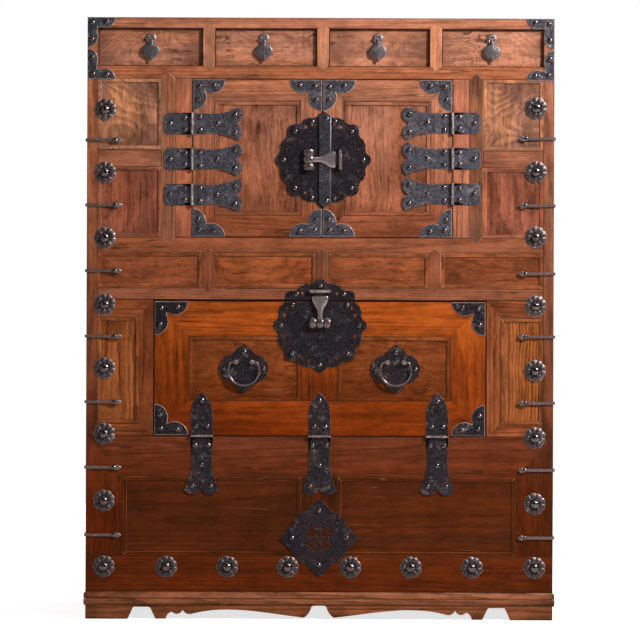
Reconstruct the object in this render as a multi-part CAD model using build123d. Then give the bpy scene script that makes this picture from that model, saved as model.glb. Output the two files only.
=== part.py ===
"""Korean two tier chest: four drawers over two doors, over a drop-front flap.

Millimetres, +Z up.  The front faces -Y, the floor is z = 0, and x = 0, y = 0 is the middle of the whole
chest with its ironwork.  "Ahead" is a distance in front of the wooden front face.
"""
from build123d import *
import os
from math import cos, pi, sin, sqrt

os.makedirs("parts", exist_ok=True)

# ---------------------------------------------------------------- driving dimensions: carcass
WIDTH = 1000.0
DEPTH = 462.0                  # wooden body, front face to back
# heights of the front's bands, from the floor up
APRON_H = 44.0
MOULDING_H = 15.0
BOTTOM_RAIL_H = 78.0
BOTTOM_PANEL_H = 168.0
WAIST_RAIL_H = 87.0
FLAP_OPENING_H = 292.0
FLAP_RAIL_H = 25.0
FRIEZE_H = 76.0
SILL_RAIL_H = 32.5
DOOR_OPENING_H = 339.5
DRAWER_RAIL_H = 27.5
DRAWER_OPENING_H = 80.5
TOP_RAIL_H = 23.0
# front boards
FRAME_T = 26.0                 # thickness of the front frame
STILE_W = 23.0
BOTTOM_STILE_W = 80.0
BOTTOM_MUNTIN_W = 78.0
MUNTIN_W = 26.0                # drawer dividers and frieze muntins
MUNTIN_POINT = 11.0            # how far their pointed ends reach into the rails
MUNTIN_CENTRES = (-240.0, 4.0, 246.0)
UPPER_SHIFT = 3.6              # the doors' meeting line lies this far right of the middle
DOOR_OPENING_W = 558.0
JAMB_W = 36.0
POST_W = 29.0
POST_POINT = 13.0
SIDE_RAIL_H = 37.0
SIDE_RAIL_RISE = 150.5         # underside of the rails beside the doors, above the door opening's foot
FLAP_OPENING_W = 712.0
FLAP_POST_W = 31.0
FLAP_POST_TOP_H = 38.0
FLAP_POST_FOOT_H = 27.0
# panels
PANEL_T = 9.0
PANEL_SINK = 2.0               # panel face behind the frame face
PANEL_TONGUE = 6.0             # how far a panel enters its grooves
GROOVE_GAP = 0.2
BEAD_W = 8.0
# boards behind the front
SIDE_T = 20.0
TOP_T = 20.0
SHELF_T = 12.0
BACK_T = 10.0
PARTITION_T = 12.0
DRAWER_GUIDE_H = 12.0
STOP_W = 20.0
STOP_GAP = 0.3
# base
BASE_LEDGE = 4.0               # the base moulding stands out this far
MOULDING_NOSE = 5.0
FOOT_W = 90.0
ARCH_TOP = 26.0
ARCH_W = 60.0
LOBE_W = 22.0
LOBE_FLOOR = 1.0
WAVE_HIGH = 20.0
WAVE_LOW = 4.0
PEAK_Z = 32.0
PEAK_W = 40.0
FOOT_SLOPE = 10.0              # how far a foot's side leans
ARCH_CORNER = 5.0              # rounding of the arches' upper corners
CUSP_STEP = 13.0               # width of the first cusp beside a lobe
CUSP_DIP = 9.0

# ---------------------------------------------------------------- driving dimensions: moving wood
DOOR_GAP = 1.0                 # round each door
DOOR_FRAME_W = 47.0
DOOR_BACK_BEVEL = 2.2
FLAP_GAP = 1.5
FLAP_TOP_GAP = 3.0
FLAP_FRAME_W = 75.0
FLAP_MUNTIN_W = 80.0
DRAWER_GAP = 1.0
DRAWER_RECESS = 7.5            # drawer fronts behind the frame face
DRAWER_FRONT_T = 16.0
DRAWER_SIDE_T = 9.0
DRAWER_BOTTOM_T = 6.0
DRAWER_LENGTH = 400.0
DRAWER_SIDE_DROP = 8.0         # drawer sides are lower than the front by this much

# ---------------------------------------------------------------- driving dimensions: ironwork
PLATE_T = 1.6
LEAF_GAP = 0.4                 # between neighbouring hinge knuckles
BARREL_R = 4.0
PIN_R = 2.0
PIN_CLEARANCE = 0.05
PIN_HEAD_R = 3.2
PIN_HEAD_H = 1.2
PIN_HEAD_GAP = 0.1             # between a pin's head and the barrel's end
BARREL_LIFT = 0.2              # the hinge barrel clears the wood by this much
NAIL_HEAD_R = 5.0
NAIL_HEAD_H = 3.2
NAIL_SHANK_R = 1.5
NAIL_HOLE_GAP = 0.1
NAIL_LENGTH = 14.0
# door hinges
DOOR_LEAF_H = 46.0
DOOR_LEAF_L = 107.0
FRAME_LEAF_L = 60.0
FRAME_LEAF_CHAMFER = 7.0
LEAF_NAIL_SPREAD = 12.0        # the paired nails of a leaf, each side of its middle
LEAF_WAIST_DIP = 2.0           # how far a leaf narrows before its tail flares
HINGE_HEAD_GAP = 5.5           # between the highest leaf and the upper corner plate's arm
HINGE_FOOT_GAP = 6.5           # between the lowest leaf and the lower corner plate's arm
TAIL_GAP = 5.75                # between the swallow tails of two hinges
HINGE_RISE_RIGHT = 3.0         # the right hinges sit this much higher
# flap hinges
FLAP_HINGE_X = (-252.0, 0.0, 252.0)
FLAP_LEAF_W = 47.0
FLAP_LEAF_L = 94.0
FLAP_LEAF_TIP = 35.0
FLAP_LEAF_CUSP_R = 2.4         # two nicks in each side of a leaf
FLAP_LEAF_HOLE_R = 1.8
FLAP_LEAF_STEP = 4.5           # from nick to hole, along the leaf
LOWER_LEAF_L = 125.0
LOWER_TAIL_W = 73.0
# lock plates
DOOR_LOCK_SHIFT = 2.4          # its middle lies right of the meeting line
DOOR_LOCK_GAP = 2.4            # between its top and bottom points and the corner plates
FLAP_LOCK_DROP = 54.5          # its middle below the rail over the flap
FLAP_LOCK_R = 101.0
LOCK_NAIL_INSET = 17.0
LOCK_HOLE_R = 3.4
LOCK_HOLE_INSET = 23.0
LOCK_HOLE_SPREAD = 8.0
LOCK_TIP_ANGLE = 16.5          # of the nails beside the doors' meeting line
LOCK_HEAD_ANGLES = (53, 90, 127)
LOCK_SIDE_ANGLES = (22.5, 67.5, 112.5, 157.5, 202.5, 247.5, 292.5, 337.5)
SCALLOP_BITE_R = 17.0
SCALLOP_DEPTH = 4.0            # how far the hollow beside each point cuts into a straight side
SCALLOP_BITE_PLACE = 18.5      # its middle, from the middle of the side
SCALLOP_LOBE_R = 5.5
SCALLOP_RISE = 1.0             # how far the two lobes stand out of the side
COVER_STRIP_W = 26.0
COVER_STRIP_LAP = 7.0          # over the left door
COVER_STRIP_INSET = 0.5        # its ends inside the lock plate's points
COVER_STRIP_T = 3.0
COVER_STRIP_LIFT = 1.0         # strip underside above the lock plate
COVER_STRIP_POINT = 9.0        # length of its pointed ends
COVER_STRIP_NAIL_INSET = 14.0
EDGE_STRIP_W = 133.0
EDGE_STRIP_H = 14.0
EDGE_STRIP_T = 2.0
EDGE_STRIP_NAIL_INSET = 8.0
# hasps and loops
HASP_T = 3.0
HASP_GAP = 1.0
HASP_W = 44.0
HASP_NECK_W = 12.0
HASP_SHOULDER = 1.0            # between the hasp's barrel and its wide part
HASP_ROUND = 4.0               # how much narrower it starts than HASP_W
HASP_SLOT_W = 7.0
HASP_SLOT_GAP = 2.0            # between the barrel and the slot
HASP_LUG_W = 9.0
DOOR_HASP_SHIFT = 36.0         # hinge axis right of the lock plate's middle
DOOR_HASP_REACH = 67.5         # hinge axis to the middle of its eye
FLAP_HASP_RISE = 18.5          # hinge axis above the underside of the rail over the flap
FLAP_HASP_REACH = 67.5
HASP_BARREL_R = 3.6
HASP_PIN_R = 1.6
LOOP_L = 24.0                  # along the hasp
LOOP_W = 14.0
LOOP_GAP = 1.2
LOOP_H = 13.0                  # above the lock plate
EYE_FOOT_GAP = 1.0             # between the hasp's eye and the lock plate
LOCK_BAR_R = 3.2
LOCK_BAR_LIFT = 7.2            # middle of the bar hole above the lock plate
# corner plates
DOOR_CORNER_L = 69.0
DOOR_CORNER_LOBE = 29.0
DOOR_CORNER_THROAT = 25.0
DOOR_CORNER_HEAD_L = 66.0      # upright arms at the doors' upper corners
DOOR_CORNER_FOOT_L = 60.0      # upright arms at the doors' lower corners
FLAP_CORNER_L = 72.0
FLAP_CORNER_FOOT_L = 66.0
TOP_CORNER_L = 60.0
TOP_CORNER_ARM = 65.0
TOP_CORNER_LOBE = 23.0
TOP_CORNER_THROAT = 21.0
TOP_CORNER_GAP = 2.5
CORNER_EDGE_GAP = 0.8          # plates stay this far inside a moving edge
# handles
HANDLE_X = 162.5
HANDLE_RISE = 145.0            # above the flap opening's foot
HANDLE_R = 52.0
HANDLE_SIDE_R = 30.0
HANDLE_POINT_W = 32.0
HANDLE_POST_X = 17.5
HANDLE_POST_RISE = 14.0
HANDLE_POST_R = 5.0
HANDLE_POST_L = 11.5
HANDLE_POST_CHAMFER = 2.0
HANDLE_AXIS_LIFT = 7.0         # bail axis above its plate
BAIL_R = 33.0
BAIL_WIRE_R = 2.4
BAIL_BEND_R = 5.0
BAIL_DROP = 17.0               # middle of the ring below its axis
BAIL_PIN_END = 13.5            # the ring's ends stop this far from its middle
# drawer pulls
PULL_DROP = 21.0               # below the drawer opening's top
PULL_PLATE_R = 12.0
PULL_LUG_W = 3.0
PULL_LUG_GAP = 8.0
PULL_AXIS_LIFT = 4.6
PULL_BARREL_R = 3.0
PULL_PIN_R = 1.3
PULL_LEAF_R = 19.5
PULL_LEAF_DROP = 27.0
PULL_LEAF_T = 2.6
PULL_SHOULDER_X = 6.5          # two round shoulders above the leaf
PULL_SHOULDER_RISE = 15.0
PULL_SHOULDER_R = 7.5
PULL_TAIL_L = 8.0              # from the leaf's rim to the tail's tip
PULL_TAIL_W = 12.0
PULL_TAIL_LAP = 2.0
PULL_TAIL_R = 3.2
PULL_SHIFTS = (1.0, -4.0, -3.0, -2.0)   # from the middle of each drawer
# ornaments
ROSETTE_R = 23.5
ROSETTE_PETALS = 9
ROSETTE_T = 1.8
STUD_R = 10.5
STUD_H = 8.0
ROSETTE_INSET = 39.0           # from the chest's side edge
ROSETTE_DROPS_LEFT = (198.0, 332.5, 472.5, 615.0, 751.5, 892.0, 1035.0)   # below the top
ROSETTE_DROPS_RIGHT = (191.5, 328.0, 468.0, 615.5, 754.0, 898.0, 1039.0)
ROSETTE_FOOT_RISE = 53.0       # the bottom row above the bottom rail's underside
ROSETTE_FOOT_X = (67.0, 196.7, 327.3)
CLEAT_W = 6.0
CLEAT_T = 3.4
CLEAT_L = 77.0                 # on the front, edge to tip
CLEAT_HEAD_W = 12.0
CLEAT_HEAD_L = 20.0
CLEAT_STUD_INSET = 16.0        # nail from the tip
CLEAT_SIDE_L = 60.0
CLEAT_DROPS_LEFT = (263.0, 402.0, 543.0, 683.0, 823.5, 963.5, 1108.0)     # below the top
CLEAT_DROPS_RIGHT = (257.0, 400.5, 546.0, 681.0, 823.0, 966.5, 1111.5)
DIAMOND_HALF = 85.0
DIAMOND_RISE = 38.0            # its middle above the bottom panels' foot
DIAMOND_SCALLOP_R = 6.5
DIAMOND_SCALLOP_STEP = 6.0     # each side of an edge's middle
CRESCENT_R = 5.0
CRESCENT_INSET = 8.0
CRESCENT_BITE = 2.2            # shift between a crescent's two circles
DIAMOND_NAIL = 58.0
FRET_R = 28.0
FRET_BAR = 5.0
FRET_CAP_X = 17.4
FRET_CAP_L = 22.4
FRET_BOSS = 11.8

# ---------------------------------------------------------------- levels and faces that follow
LOOP_AHEAD = PLATE_T + LOOP_H
FRONT = (LOOP_AHEAD - DEPTH) / 2
BACK = FRONT + DEPTH
FRAME_BACK = FRONT + FRAME_T
HALF = WIDTH / 2
INNER = HALF - STILE_W
moulding_z = APRON_H
bottom_rail_z = moulding_z + MOULDING_H
bottom_panel_z = bottom_rail_z + BOTTOM_RAIL_H
waist_z = bottom_panel_z + BOTTOM_PANEL_H
flap_z = waist_z + WAIST_RAIL_H
flap_rail_z = flap_z + FLAP_OPENING_H
frieze_z = flap_rail_z + FLAP_RAIL_H
sill_z = frieze_z + FRIEZE_H
door_z = sill_z + SILL_RAIL_H
drawer_rail_z = door_z + DOOR_OPENING_H
drawer_z = drawer_rail_z + DRAWER_RAIL_H
top_rail_z = drawer_z + DRAWER_OPENING_H
HEIGHT = top_rail_z + TOP_RAIL_H
door_left = UPPER_SHIFT - DOOR_OPENING_W / 2
door_right = UPPER_SHIFT + DOOR_OPENING_W / 2
flap_half = FLAP_OPENING_W / 2
side_rail_z = door_z + SIDE_RAIL_RISE
plate_top = drawer_rail_z - DOOR_GAP - CORNER_EDGE_GAP - DOOR_CORNER_HEAD_L
plate_foot = door_z + DOOR_GAP + CORNER_EDGE_GAP + DOOR_CORNER_FOOT_L
hinge_high = plate_top - HINGE_HEAD_GAP - DOOR_LEAF_H / 2
hinge_low = plate_foot + HINGE_FOOT_GAP + DOOR_LEAF_H / 2
hinge_pitch = (hinge_high - hinge_low) / 2
door_tail_h = hinge_pitch - TAIL_GAP
door_lock_x = UPPER_SHIFT + DOOR_LOCK_SHIFT
door_lock_z = (plate_top + plate_foot) / 2
door_lock_r = (plate_top - plate_foot) / 2 - DOOR_LOCK_GAP
door_hasp_x = door_lock_x + DOOR_HASP_SHIFT
cover_strip_l = 2 * (door_lock_r - COVER_STRIP_INSET)
flap_lock_z = flap_rail_z - FLAP_LOCK_DROP
flap_hasp_z = flap_rail_z + FLAP_HASP_RISE
handle_z = flap_z + HANDLE_RISE
diamond_z = bottom_panel_z + DIAMOND_RISE
rosette_x = HALF - ROSETTE_INSET
rosette_foot_z = bottom_rail_z + ROSETTE_FOOT_RISE
cleat_tip_x = HALF - CLEAT_L
cleat_stud_x = cleat_tip_x + CLEAT_STUD_INSET
barrel_ahead = BARREL_R + BARREL_LIFT


# ---------------------------------------------------------------- helpers
def block(x0, x1, y0, y1, z0, z1):
    """Box between two corners."""
    return Pos((x0 + x1) / 2, (y0 + y1) / 2, (z0 + z1) / 2) * Box(x1 - x0, y1 - y0, z1 - z0)


def outline(*points):
    """Straight-sided face from (x, z) points of the front view."""
    return make_face(Polyline(*points, close=True))


def rect(x0, x1, z0, z1):
    """Rectangle of the front view."""
    return Pos((x0 + x1) / 2, (z0 + z1) / 2) * Rectangle(x1 - x0, z1 - z0)


def disc(x, z, radius):
    """Circle of the front view."""
    return Pos(x, z) * Circle(radius)


def raised(face, low, high):
    """Solid over a front-view face, from low to high ahead of the wooden front."""
    return extrude(Plane.XZ.offset(low - FRONT) * face, high - low)


def board(face, thickness=FRAME_T):
    """Front board: its face flush with the front, its thickness behind it."""
    return raised(face, -thickness, 0)


def mirrored(face):
    """Front-view face mirrored left to right."""
    return mirror(face, Plane.YZ)


def save(name, shapes):
    """Write one node: every shape's solids, side by side."""
    solids = []
    for shape in shapes:
        solids += shape.solids()
    export_step(Compound(solids), f"parts/{name}.step")


def nail_holes(spots, shank=NAIL_SHANK_R):
    """Face with one hole for each nail spot."""
    holes = Sketch()
    for x, z in spots:
        holes += disc(x, z, shank + NAIL_HOLE_GAP)
    return holes


def nails(spots, seat, head_r=NAIL_HEAD_R, head_h=NAIL_HEAD_H):
    """Nails with domed heads seated at a height ahead of the front, shanks driven into the wood."""
    dome_r = (head_r ** 2 + head_h ** 2) / (2 * head_h)
    profile = make_face(Wire([
        Line((0, head_h), (0, -NAIL_LENGTH)),
        Line((0, -NAIL_LENGTH), (NAIL_SHANK_R, -NAIL_LENGTH + 2 * NAIL_SHANK_R)),
        Line((NAIL_SHANK_R, -NAIL_LENGTH + 2 * NAIL_SHANK_R), (NAIL_SHANK_R, 0)),
        Line((NAIL_SHANK_R, 0), (head_r, 0)),
        RadiusArc((head_r, 0), (0, head_h), -dome_r),
    ]))
    upright = revolve(Plane.XZ * profile, Axis.Z)
    lying = Rot(90, 0, 0) * upright
    return [Pos(x, FRONT - seat, z) * lying for x, z in spots]


def panel(x0, x1, z0, z1):
    """Sunk panel with its tongue all round."""
    tongue = PANEL_TONGUE
    face = rect(x0 - tongue, x1 + tongue, z0 - tongue, z1 + tongue)
    return raised(face, -PANEL_SINK - PANEL_T, -PANEL_SINK)


def groove(x0, x1, z0, z1):
    """Space that a panel's tongue needs in the boards round it."""
    reach = PANEL_TONGUE + GROOVE_GAP
    face = rect(x0 - reach, x1 + reach, z0 - reach, z1 + reach)
    return raised(face, -PANEL_SINK - PANEL_T - GROOVE_GAP, -PANEL_SINK + GROOVE_GAP)


def bead(x0, x1, z0, z1):
    """Four mitred strips on a panel's edge, flush with the frame."""
    u0, u1, w0, w1 = x0 + BEAD_W, x1 - BEAD_W, z0 + BEAD_W, z1 - BEAD_W
    faces = [
        outline((x0, z0), (x1, z0), (u1, w0), (u0, w0)),
        outline((x1, z0), (x1, z1), (u1, w1), (u1, w0)),
        outline((x1, z1), (x0, z1), (u0, w1), (u1, w1)),
        outline((x0, z1), (x0, z0), (u0, w0), (u0, w1)),
    ]
    return [raised(face, -PANEL_SINK, 0) for face in faces]


def mitred_frame(x0, x1, z0, z1, width, thickness):
    """Four boards with mitred corners: bottom, right, top, left."""
    u0, u1, w0, w1 = x0 + width, x1 - width, z0 + width, z1 - width
    faces = [
        outline((x0, z0), (x1, z0), (u1, w0), (u0, w0)),
        outline((x1, z0), (x1, z1), (u1, w1), (u1, w0)),
        outline((x1, z1), (x0, z1), (u0, w1), (u1, w1)),
        outline((x0, z1), (x0, z0), (u0, w0), (u0, w1)),
    ]
    return [board(face, thickness) for face in faces]


def cut_all(shapes, tools):
    """Each shape with every tool that meets it taken away."""
    result = []
    for shape in shapes:
        box = shape.bounding_box()
        for tool in tools:
            other = tool.bounding_box()
            apart = (
                box.min.X > other.max.X or other.min.X > box.max.X
                or box.min.Y > other.max.Y or other.min.Y > box.max.Y
                or box.min.Z > other.max.Z or other.min.Z > box.max.Z
            )
            if not apart:
                shape = shape - tool
        result.append(shape)
    return result


# ---------------------------------------------------------------- front frame
def pointed_board(centre, width, z0, z1, point):
    """Upright board with a pointed end let into the rail above and below."""
    x0, x1 = centre - width / 2, centre + width / 2
    return outline((x0, z0), (centre, z0 - point), (x1, z0), (x1, z1), (centre, z1 + point), (x0, z1))


def front_frame():
    """Stiles, rails and uprights of the front, with their panels and beads."""
    posts = [
        pointed_board(door_left - JAMB_W - POST_W / 2, POST_W, door_z, drawer_rail_z, POST_POINT),
        pointed_board(door_right + JAMB_W + POST_W / 2, POST_W, door_z, drawer_rail_z, POST_POINT),
    ]
    muntins = []
    for centre in MUNTIN_CENTRES:
        muntins.append(pointed_board(centre, MUNTIN_W, drawer_z, top_rail_z, MUNTIN_POINT))
        muntins.append(pointed_board(centre, MUNTIN_W, frieze_z, sill_z, MUNTIN_POINT))
    uprights = [board(face) for face in posts + muntins]

    jamb_faces = [
        rect(door_left - JAMB_W, door_left, door_z, drawer_rail_z),
        rect(door_right, door_right + JAMB_W, door_z, drawer_rail_z),
        rect(-BOTTOM_MUNTIN_W / 2, BOTTOM_MUNTIN_W / 2, bottom_panel_z, waist_z),
    ]
    jambs = [board(face) for face in jamb_faces]

    side_left_x = door_left - JAMB_W - POST_W
    side_right_x = door_right + JAMB_W + POST_W
    side_rail_top = side_rail_z + SIDE_RAIL_H
    rails = [
        board(rect(-INNER, INNER, top_rail_z, HEIGHT)),
        board(rect(-INNER, INNER, drawer_rail_z, drawer_z)),
        board(rect(-INNER, INNER, sill_z, door_z)),
        board(rect(-INNER, INNER, flap_rail_z, frieze_z)),
        board(rect(-INNER, side_left_x, side_rail_z, side_rail_top)),
        board(rect(side_right_x, INNER, side_rail_z, side_rail_top)),
        board(outline(
            (BOTTOM_STILE_W - HALF, waist_z), (HALF - BOTTOM_STILE_W, waist_z),
            (HALF, flap_z), (-HALF, flap_z),
        )),
        board(rect(-HALF, HALF, bottom_rail_z, bottom_panel_z)),
    ]
    rails = cut_all(rails, uprights)

    stiles = []
    surround = []
    for side in (-1, 1):
        edge, inner = side * HALF, side * INNER
        foot = side * (HALF - BOTTOM_STILE_W)
        stiles.append(board(outline((edge, flap_z), (inner, flap_z), (inner, HEIGHT), (edge, HEIGHT))))
        stiles.append(board(outline(
            (edge, bottom_panel_z), (foot, bottom_panel_z), (foot, waist_z), (edge, flap_z),
        )))
        near, far = side * flap_half, side * (flap_half + FLAP_POST_W)
        low, high = flap_z + FLAP_POST_FOOT_H, flap_rail_z - FLAP_POST_TOP_H
        surround.append(board(outline((near, flap_z), (far, low), (far, high), (near, flap_rail_z))))
        surround.append(board(outline((near, flap_rail_z), (far, high), (inner, high), (inner, flap_rail_z))))
        surround.append(board(outline((near, flap_z), (inner, flap_z), (inner, low), (far, low))))

    openings = []
    for x0, x1 in ((-INNER, side_left_x), (side_right_x, INNER)):
        openings.append((x0, x1, door_z, side_rail_z))
        openings.append((x0, x1, side_rail_top, drawer_rail_z))
    edges = [-INNER]
    for centre in MUNTIN_CENTRES:
        edges += [centre - MUNTIN_W / 2, centre + MUNTIN_W / 2]
    edges.append(INNER)
    for x0, x1 in zip(edges[0::2], edges[1::2]):
        openings.append((x0, x1, frieze_z, sill_z))
    for side in (-1, 1):
        x0, x1 = sorted((side * (flap_half + FLAP_POST_W), side * INNER))
        openings.append((x0, x1, flap_z + FLAP_POST_FOOT_H, flap_rail_z - FLAP_POST_TOP_H))
        x0, x1 = sorted((side * BOTTOM_MUNTIN_W / 2, side * (HALF - BOTTOM_STILE_W)))
        openings.append((x0, x1, bottom_panel_z, waist_z))

    panels = [panel(*opening) for opening in openings]
    grooves = [groove(*opening) for opening in openings]
    beads = []
    for opening in openings:
        beads += bead(*opening)
    save("front_rails", cut_all(rails, grooves))
    save("front_uprights", cut_all(uprights + jambs, grooves))
    save("front_stiles", cut_all(stiles, grooves))
    save("flap_surround_boards", cut_all(surround, grooves))
    save("front_panels", panels + beads)


# ---------------------------------------------------------------- carcass behind the front
def carcass():
    """Sides, top, shelves, backs, partitions and stops."""
    inside = HALF - SIDE_T
    sides = [
        block(side * HALF - (side + 1) / 2 * SIDE_T, side * HALF - (side - 1) / 2 * SIDE_T,
              FRAME_BACK, BACK, bottom_rail_z, HEIGHT)
        for side in (-1, 1)
    ]
    save("side_boards", sides)
    save("top_board", [block(-inside, inside, FRAME_BACK, BACK, HEIGHT - TOP_T, HEIGHT)])
    shelf_back = BACK - BACK_T
    tops = (bottom_panel_z, frieze_z, door_z, drawer_z)
    shelves = [block(-inside, inside, FRAME_BACK, shelf_back, top - SHELF_T, top) for top in tops]
    save("shelf_boards", shelves)
    backs = [
        block(-inside, inside, shelf_back, BACK, bottom_rail_z, sill_z),
        block(-inside, inside, shelf_back, BACK, sill_z, HEIGHT - TOP_T),
    ]
    save("back_boards", backs)
    partitions = []
    for centre in MUNTIN_CENTRES:
        wall = block(centre - PARTITION_T / 2, centre + PARTITION_T / 2, FRAME_BACK, shelf_back,
                     drawer_z, HEIGHT - TOP_T)
        guide = block(centre - MUNTIN_W / 2, centre + MUNTIN_W / 2, FRAME_BACK, shelf_back,
                      drawer_z, drawer_z + DRAWER_GUIDE_H)
        partitions.append(wall + guide)
    for side in (-1, 1):
        x0, x1 = sorted((side * INNER, side * inside))
        partitions.append(block(x0, x1, FRAME_BACK, shelf_back, drawer_z, drawer_z + DRAWER_GUIDE_H))
    save("drawer_partitions", partitions)
    stop_back = FRAME_BACK + STOP_W
    lap = 2 * STOP_W
    stops = [
        block(door_left + lap, door_right - lap, FRAME_BACK, stop_back,
              drawer_rail_z - STOP_W, drawer_z - SHELF_T),
        block(lap - flap_half, flap_half - lap, FRAME_BACK, stop_back,
              flap_rail_z - STOP_W, frieze_z - SHELF_T),
    ]
    save("door_and_flap_stops", stops)


# ---------------------------------------------------------------- base
def base():
    """Moulding round three sides and four aprons with feet."""
    ledge = BASE_LEDGE
    nose = MOULDING_NOSE
    section = make_face(Wire([
        Line((0, 0), (ledge, 0)),
        Line((ledge, 0), (ledge, MOULDING_H - nose)),
        Line((ledge, MOULDING_H - nose), (0, MOULDING_H)),
        Line((0, MOULDING_H), (0, 0)),
    ]))
    bed = FRAME_T
    front = block(-HALF, HALF, FRONT, FRONT + bed, moulding_z, bottom_rail_z)
    front += extrude(Plane((-HALF - ledge, FRONT, moulding_z), x_dir=(0, -1, 0), z_dir=(1, 0, 0)) * section,
                     WIDTH + 2 * ledge)
    mouldings = [front]
    for side in (-1, 1):
        x0, x1 = sorted((side * HALF, side * (HALF - SIDE_T)))
        rail = block(x0, x1, FRONT + bed, BACK, moulding_z, bottom_rail_z)
        plane = Plane((side * HALF, FRONT, moulding_z), x_dir=(side, 0, 0), z_dir=(0, -side, 0))
        rail += extrude(plane * section, -side * DEPTH)
        mouldings.append(rail - front)
    mouldings.append(block(SIDE_T - HALF, HALF - SIDE_T, BACK - SIDE_T, BACK, moulding_z, bottom_rail_z))
    save("base_moulding", mouldings)

    foot_x = HALF - FOOT_W
    arch_x = foot_x - ARCH_W
    lobe_x = arch_x - LOBE_W
    right_x, left_x = foot_x - FOOT_SLOPE, arch_x + FOOT_SLOPE
    corner_z = ARCH_TOP - 0.8 * ARCH_CORNER
    half_edge = [
        Line((0, APRON_H), (HALF, APRON_H)),
        Line((HALF, APRON_H), (HALF, 0)),
        Line((HALF, 0), (foot_x, 0)),
        Line((foot_x, 0), (right_x, corner_z)),
        RadiusArc((right_x, corner_z), (right_x - ARCH_CORNER, ARCH_TOP), -1.2 * ARCH_CORNER),
        Line((right_x - ARCH_CORNER, ARCH_TOP), (left_x + ARCH_CORNER, ARCH_TOP)),
        RadiusArc((left_x + ARCH_CORNER, ARCH_TOP), (left_x, corner_z), -1.2 * ARCH_CORNER),
        Line((left_x, corner_z), (arch_x, LOBE_FLOOR)),
        Line((arch_x, LOBE_FLOOR), (lobe_x, LOBE_FLOOR)),
        ThreePointArc((lobe_x, LOBE_FLOOR), (lobe_x - CUSP_STEP / 3, WAVE_HIGH / 2),
                      (lobe_x - CUSP_STEP, WAVE_HIGH - 4)),
        ThreePointArc((lobe_x - CUSP_STEP, WAVE_HIGH - 4), (lobe_x - 1.9 * CUSP_STEP, WAVE_HIGH - CUSP_DIP),
                      (lobe_x - 2.8 * CUSP_STEP, WAVE_HIGH)),
        ThreePointArc((lobe_x - 2.8 * CUSP_STEP, WAVE_HIGH), (lobe_x - 3.6 * CUSP_STEP, WAVE_HIGH - CUSP_DIP),
                      (lobe_x - 4.5 * CUSP_STEP, WAVE_HIGH - 8)),
        Spline([(lobe_x - 4.5 * CUSP_STEP, WAVE_HIGH - 8), (lobe_x - 8.5 * CUSP_STEP, WAVE_HIGH),
                (PEAK_W / 2 + 45, WAVE_LOW + 4), (PEAK_W / 2 + 12, WAVE_LOW)]),
        ThreePointArc((PEAK_W / 2 + 12, WAVE_LOW), (PEAK_W / 2 + 1, WAVE_LOW + 11),
                      (PEAK_W / 2 - 4, PEAK_Z - 5)),
        ThreePointArc((PEAK_W / 2 - 4, PEAK_Z - 5), (PEAK_W / 4, PEAK_Z - 2), (0, PEAK_Z)),
        Line((0, PEAK_Z), (0, APRON_H)),
    ]
    half = make_face(Wire(half_edge))
    apron = half + mirrored(half)
    save("front_apron", [board(apron, FRAME_T)])

    far_foot = DEPTH - FRAME_T
    slope_x = FOOT_W + FOOT_SLOPE
    side_face = outline(
        (0, 0), (FOOT_W, 0), (slope_x, ARCH_TOP), (far_foot - slope_x, ARCH_TOP),
        (far_foot - FOOT_W, 0), (far_foot, 0), (far_foot, APRON_H), (0, APRON_H),
    )
    aprons = []
    for x0 in (-HALF, HALF - SIDE_T):
        plane = Plane((x0, FRAME_BACK, 0), x_dir=(0, 1, 0), z_dir=(1, 0, 0))
        aprons.append(extrude(plane * side_face, SIDE_T))
    x1 = HALF - SIDE_T
    back_face = outline(
        (-x1, 0), (-x1 + FOOT_W, 0), (-x1 + slope_x, ARCH_TOP), (x1 - slope_x, ARCH_TOP),
        (x1 - FOOT_W, 0), (x1, 0), (x1, APRON_H), (-x1, APRON_H),
    )
    aprons.append(extrude(Plane.XZ.offset(-BACK) * back_face, SIDE_T))
    save("side_and_back_aprons", aprons)


# ---------------------------------------------------------------- plate outlines
def corner_outline(across, down, lobe, throat):
    """Corner plate in the first quadrant: two arms with rounded lobes that end in a point on the edge."""
    across_arm = rect(0, across - lobe, 0, throat) + disc(across - lobe, 0, lobe)
    down_arm = rect(0, throat, 0, down - lobe) + disc(0, down - lobe, lobe)
    return (across_arm + down_arm) & rect(0, across + down, 0, across + down)


def corner_nails(across, down, lobe):
    """Three nails of a corner plate."""
    near = lobe / 2
    return [(near, near), (across - 0.8 * lobe, 0.42 * lobe), (0.42 * lobe, down - 0.8 * lobe)]


def placed(spots, x, z, sx, sz):
    """Points of a corner plate turned to a corner of the front."""
    return [(x + sx * u, z + sz * v) for u, v in spots]


def corner_plate(x, z, sx, sz, across, down, lobe, throat):
    """One corner plate and its nail spots; sx and sz point into the plate from its outer corner."""
    face = corner_outline(across, down, lobe, throat)
    if sx < 0:
        face = mirrored(face)
    if sz < 0:
        face = mirror(face, Plane.XZ)
    spots = placed(corner_nails(across, down, lobe), x, z, sx, sz)
    return raised(Pos(x, z) * face - nail_holes(spots), 0, PLATE_T), spots


def scalloped_octagon(radius):
    """Lock plate outline: eight points with two small lobes between each pair."""
    face = Sketch() + RegularPolygon(radius, 8)
    middle = radius * cos(pi / 8)
    bite_x = middle + SCALLOP_BITE_R - SCALLOP_DEPTH
    lobe_x = middle - SCALLOP_LOBE_R + SCALLOP_RISE
    turns = [Rot(0, 0, 45 * index + 22.5) for index in range(8)]
    for turn in turns:
        for side in (-1, 1):
            face -= turn * disc(bite_x, side * SCALLOP_BITE_PLACE, SCALLOP_BITE_R)
    for turn in turns:
        for side in (-1, 1):
            face += turn * disc(lobe_x, side * 0.9 * SCALLOP_LOBE_R, SCALLOP_LOBE_R)
    return face


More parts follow.
